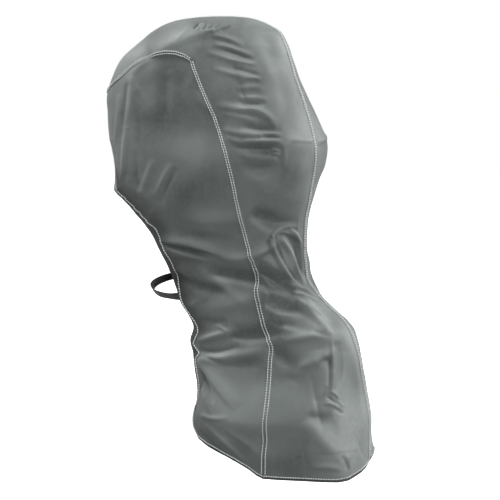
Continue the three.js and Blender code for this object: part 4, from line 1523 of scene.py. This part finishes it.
class MOTOR_COVER_OT_top_and_back(bpy.types.Operator):
    """Sew the two panels that cover the top and the back, and meet in the middle"""

    bl_idname = "motor_cover.top_and_back"
    bl_label = "Top and back panels"

    def execute(self, context):
        sizes, colours = sizes_and_colours(context)
        cloth_finish = made_once("coated polyester canvas", cover_cloth, colours)
        for flank in FLANKS:
            piece = sew_panel(
                f"top_back_cloth_{flank['name']}", flank,
                top_and_back_grids(flank, sizes.turned_under / MM), cloth_finish, sizes,
            )
            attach(piece, "root")
            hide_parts(f"top_and_back_panel_{flank['name']}")
        return {"FINISHED"}


class MOTOR_COVER_OT_topstitching(bpy.types.Operator):
    """Stitch along both sides of every seam and inside the hems"""

    bl_idname = "motor_cover.topstitching"
    bl_label = "Topstitching"

    def execute(self, context):
        sizes, colours = sizes_and_colours(context)
        thread = made_once("bonded polyester thread", sewing_thread, colours)
        for flank in FLANKS:
            front_way, front_angle = front_row(flank)
            rows = [
                arch_row(flank, 1), side_row(flank, -1), (front_way, front_angle),
                bottom_row(flank, front_angle[-1], SIDE_SEAM),
            ]
            front = topstitching(
                f"front_side_topstitch_{flank['name']}", flank, rows, "front", thread, sizes,
            )
            rows = [
                arch_row(flank, -1), side_row(flank, 1), centre_row(flank),
                bottom_row(flank, SIDE_SEAM, BACK_SEAM),
            ]
            back = topstitching(
                f"top_back_topstitch_{flank['name']}", flank, rows, "back", thread, sizes,
            )
            for piece in (front, back):
                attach(piece, "root")
        return {"FINISHED"}


class MOTOR_COVER_OT_front_strap(bpy.types.Operator):
    """Weave the strap that hangs across the open front"""

    bl_idname = "motor_cover.front_strap"
    bl_label = "Front strap"

    def execute(self, context):
        sizes, colours = sizes_and_colours(context)
        rings, places = strap_grid(sizes.strap_width / MM, sizes.strap_thickness / MM)
        piece = closed_band("front_strap_webbing", rings, places, strap_webbing(colours))
        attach(piece, "root")
        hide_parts("front_strap")
        return {"FINISHED"}


class MOTOR_COVER_OT_stage(bpy.types.Operator):
    """Set up the floor, the lights and the camera"""

    bl_idname = "motor_cover.stage"
    bl_label = "Stage"

    def execute(self, context):
        floor = paper_floor(context.scene.motor_cover_colours)
        hang_lights(context.scene)
        context.scene.world = backdrop()
        context.scene.camera = photo_camera(context.scene)
        context.scene.view_settings.view_transform = "Standard"
        return {"FINISHED"}


def paper_floor(colours):
    """A level square of backdrop paper below the cover."""
    edge = np.linspace(-FLOOR_REACH, FLOOR_REACH, FLOOR_POINTS)
    x, y = np.meshgrid(edge, edge)
    points = np.stack([x, y, np.full(x.shape, -BOTTOM - FLOOR_BELOW)], -1).reshape(-1, 3)
    faces = grid_faces(FLOOR_POINTS, FLOOR_POINTS)[:, ::-1]
    floor = new_piece("studio_floor", points, [faces], studio_paper(colours))
    # As if black flags stood just outside the view, the paper doesn't light the cover.
    floor.visible_diffuse = False
    return floor


def hang_lights(scene):
    """The soft square lights round the cover, each turned to its middle."""
    for name, (azimuth, elevation, size, power) in LIGHTS.items():
        light = bpy.data.lights.new(name, "AREA")
        light.size, light.energy = size, power
        lamp = bpy.data.objects.new(name, light)
        out = towards(*np.radians((azimuth, elevation)))
        lamp.matrix_world = looking(LIGHT_AIM + LIGHT_DISTANCE * out, LIGHT_AIM)
        lamp.visible_camera = False
        scene.collection.objects.link(lamp)


def photo_camera(scene):
    """The camera at the eye, with the lens that gives the photo's scale at the aim."""
    camera = bpy.data.cameras.new("photo camera")
    camera.sensor_width = SENSOR_WIDTH
    camera.lens = SENSOR_WIDTH * EYE_DISTANCE / (PHOTO_WIDTH * EYE_MM_PER_PIXEL)
    camera.clip_end = CAMERA_REACH
    viewer = bpy.data.objects.new("photo camera", camera)
    viewer.matrix_world = looking(EYE * MM, EYE_AIM * MM)
    scene.collection.objects.link(viewer)
    return viewer


def looking(stand, aim):
    """A matrix at a stand whose -Z looks at an aim, with Y upwards."""
    back = unit(stand - aim)
    right = unit(np.cross((0, 0, 1), back))
    up = np.cross(back, right)
    matrix = np.eye(4)
    matrix[:3] = np.stack([right, up, back, stand], -1)
    return Matrix(matrix.tolist())


def backdrop():
    """A white world that lights softly, and is plain white behind the object."""
    world = bpy.data.worlds.new("white backdrop")
    world.use_nodes = True
    tree = world.node_tree
    tree.nodes.clear()
    seen = add_node(tree, "ShaderNodeLightPath", out="Is Camera Ray")
    strength = add_node(
        tree, "ShaderNodeMapRange", {"Value": seen, "To Min": WORLD_LIGHT}, "Result",
    )
    shown = add_node(
        tree, "ShaderNodeBackground", {"Color": (1, 1, 1, 1), "Strength": strength}, "Background",
    )
    output = add_node(tree, "ShaderNodeOutputWorld")
    tree.links.new(shown, output.inputs["Surface"])
    return world


class MOTOR_COVER_PT_sidebar(bpy.types.Panel):
    """The cover's sizes, colours and steps in the sidebar"""

    bl_idname = "MOTOR_COVER_PT_sidebar"
    bl_label = "Outboard Motor Cover"
    bl_space_type = "VIEW_3D"
    bl_region_type = "UI"
    bl_category = "Motor Cover"

    def draw(self, context):
        for group in sizes_and_colours(context):
            box = self.layout.box()
            for name in type(group).__annotations__:
                box.prop(group, name)
        for step in STEPS:
            self.layout.operator(step.bl_idname)


STEPS = (
    MOTOR_COVER_OT_front_sides,
    MOTOR_COVER_OT_top_and_back,
    MOTOR_COVER_OT_topstitching,
    MOTOR_COVER_OT_front_strap,
    MOTOR_COVER_OT_stage,
)
CLASSES = (MotorCoverSizes, MotorCoverColours, *STEPS, MOTOR_COVER_PT_sidebar)


def register():
    """Registers the classes and gives the scene its sizes and colours."""
    for item in CLASSES:
        bpy.utils.register_class(item)
    bpy.types.Scene.motor_cover_sizes = bpy.props.PointerProperty(type=MotorCoverSizes)
    bpy.types.Scene.motor_cover_colours = bpy.props.PointerProperty(type=MotorCoverColours)


def unregister():
    """Takes the sizes, colours and classes away again."""
    del bpy.types.Scene.motor_cover_colours
    del bpy.types.Scene.motor_cover_sizes
    for item in reversed(CLASSES):
        bpy.utils.unregister_class(item)


def main():
    """Registers the cover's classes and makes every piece."""
    register()
    bpy.ops.motor_cover.front_sides()
    bpy.ops.motor_cover.top_and_back()
    bpy.ops.motor_cover.topstitching()
    bpy.ops.motor_cover.front_strap()
    bpy.ops.motor_cover.stage()


if __name__ == "__main__":
    main()
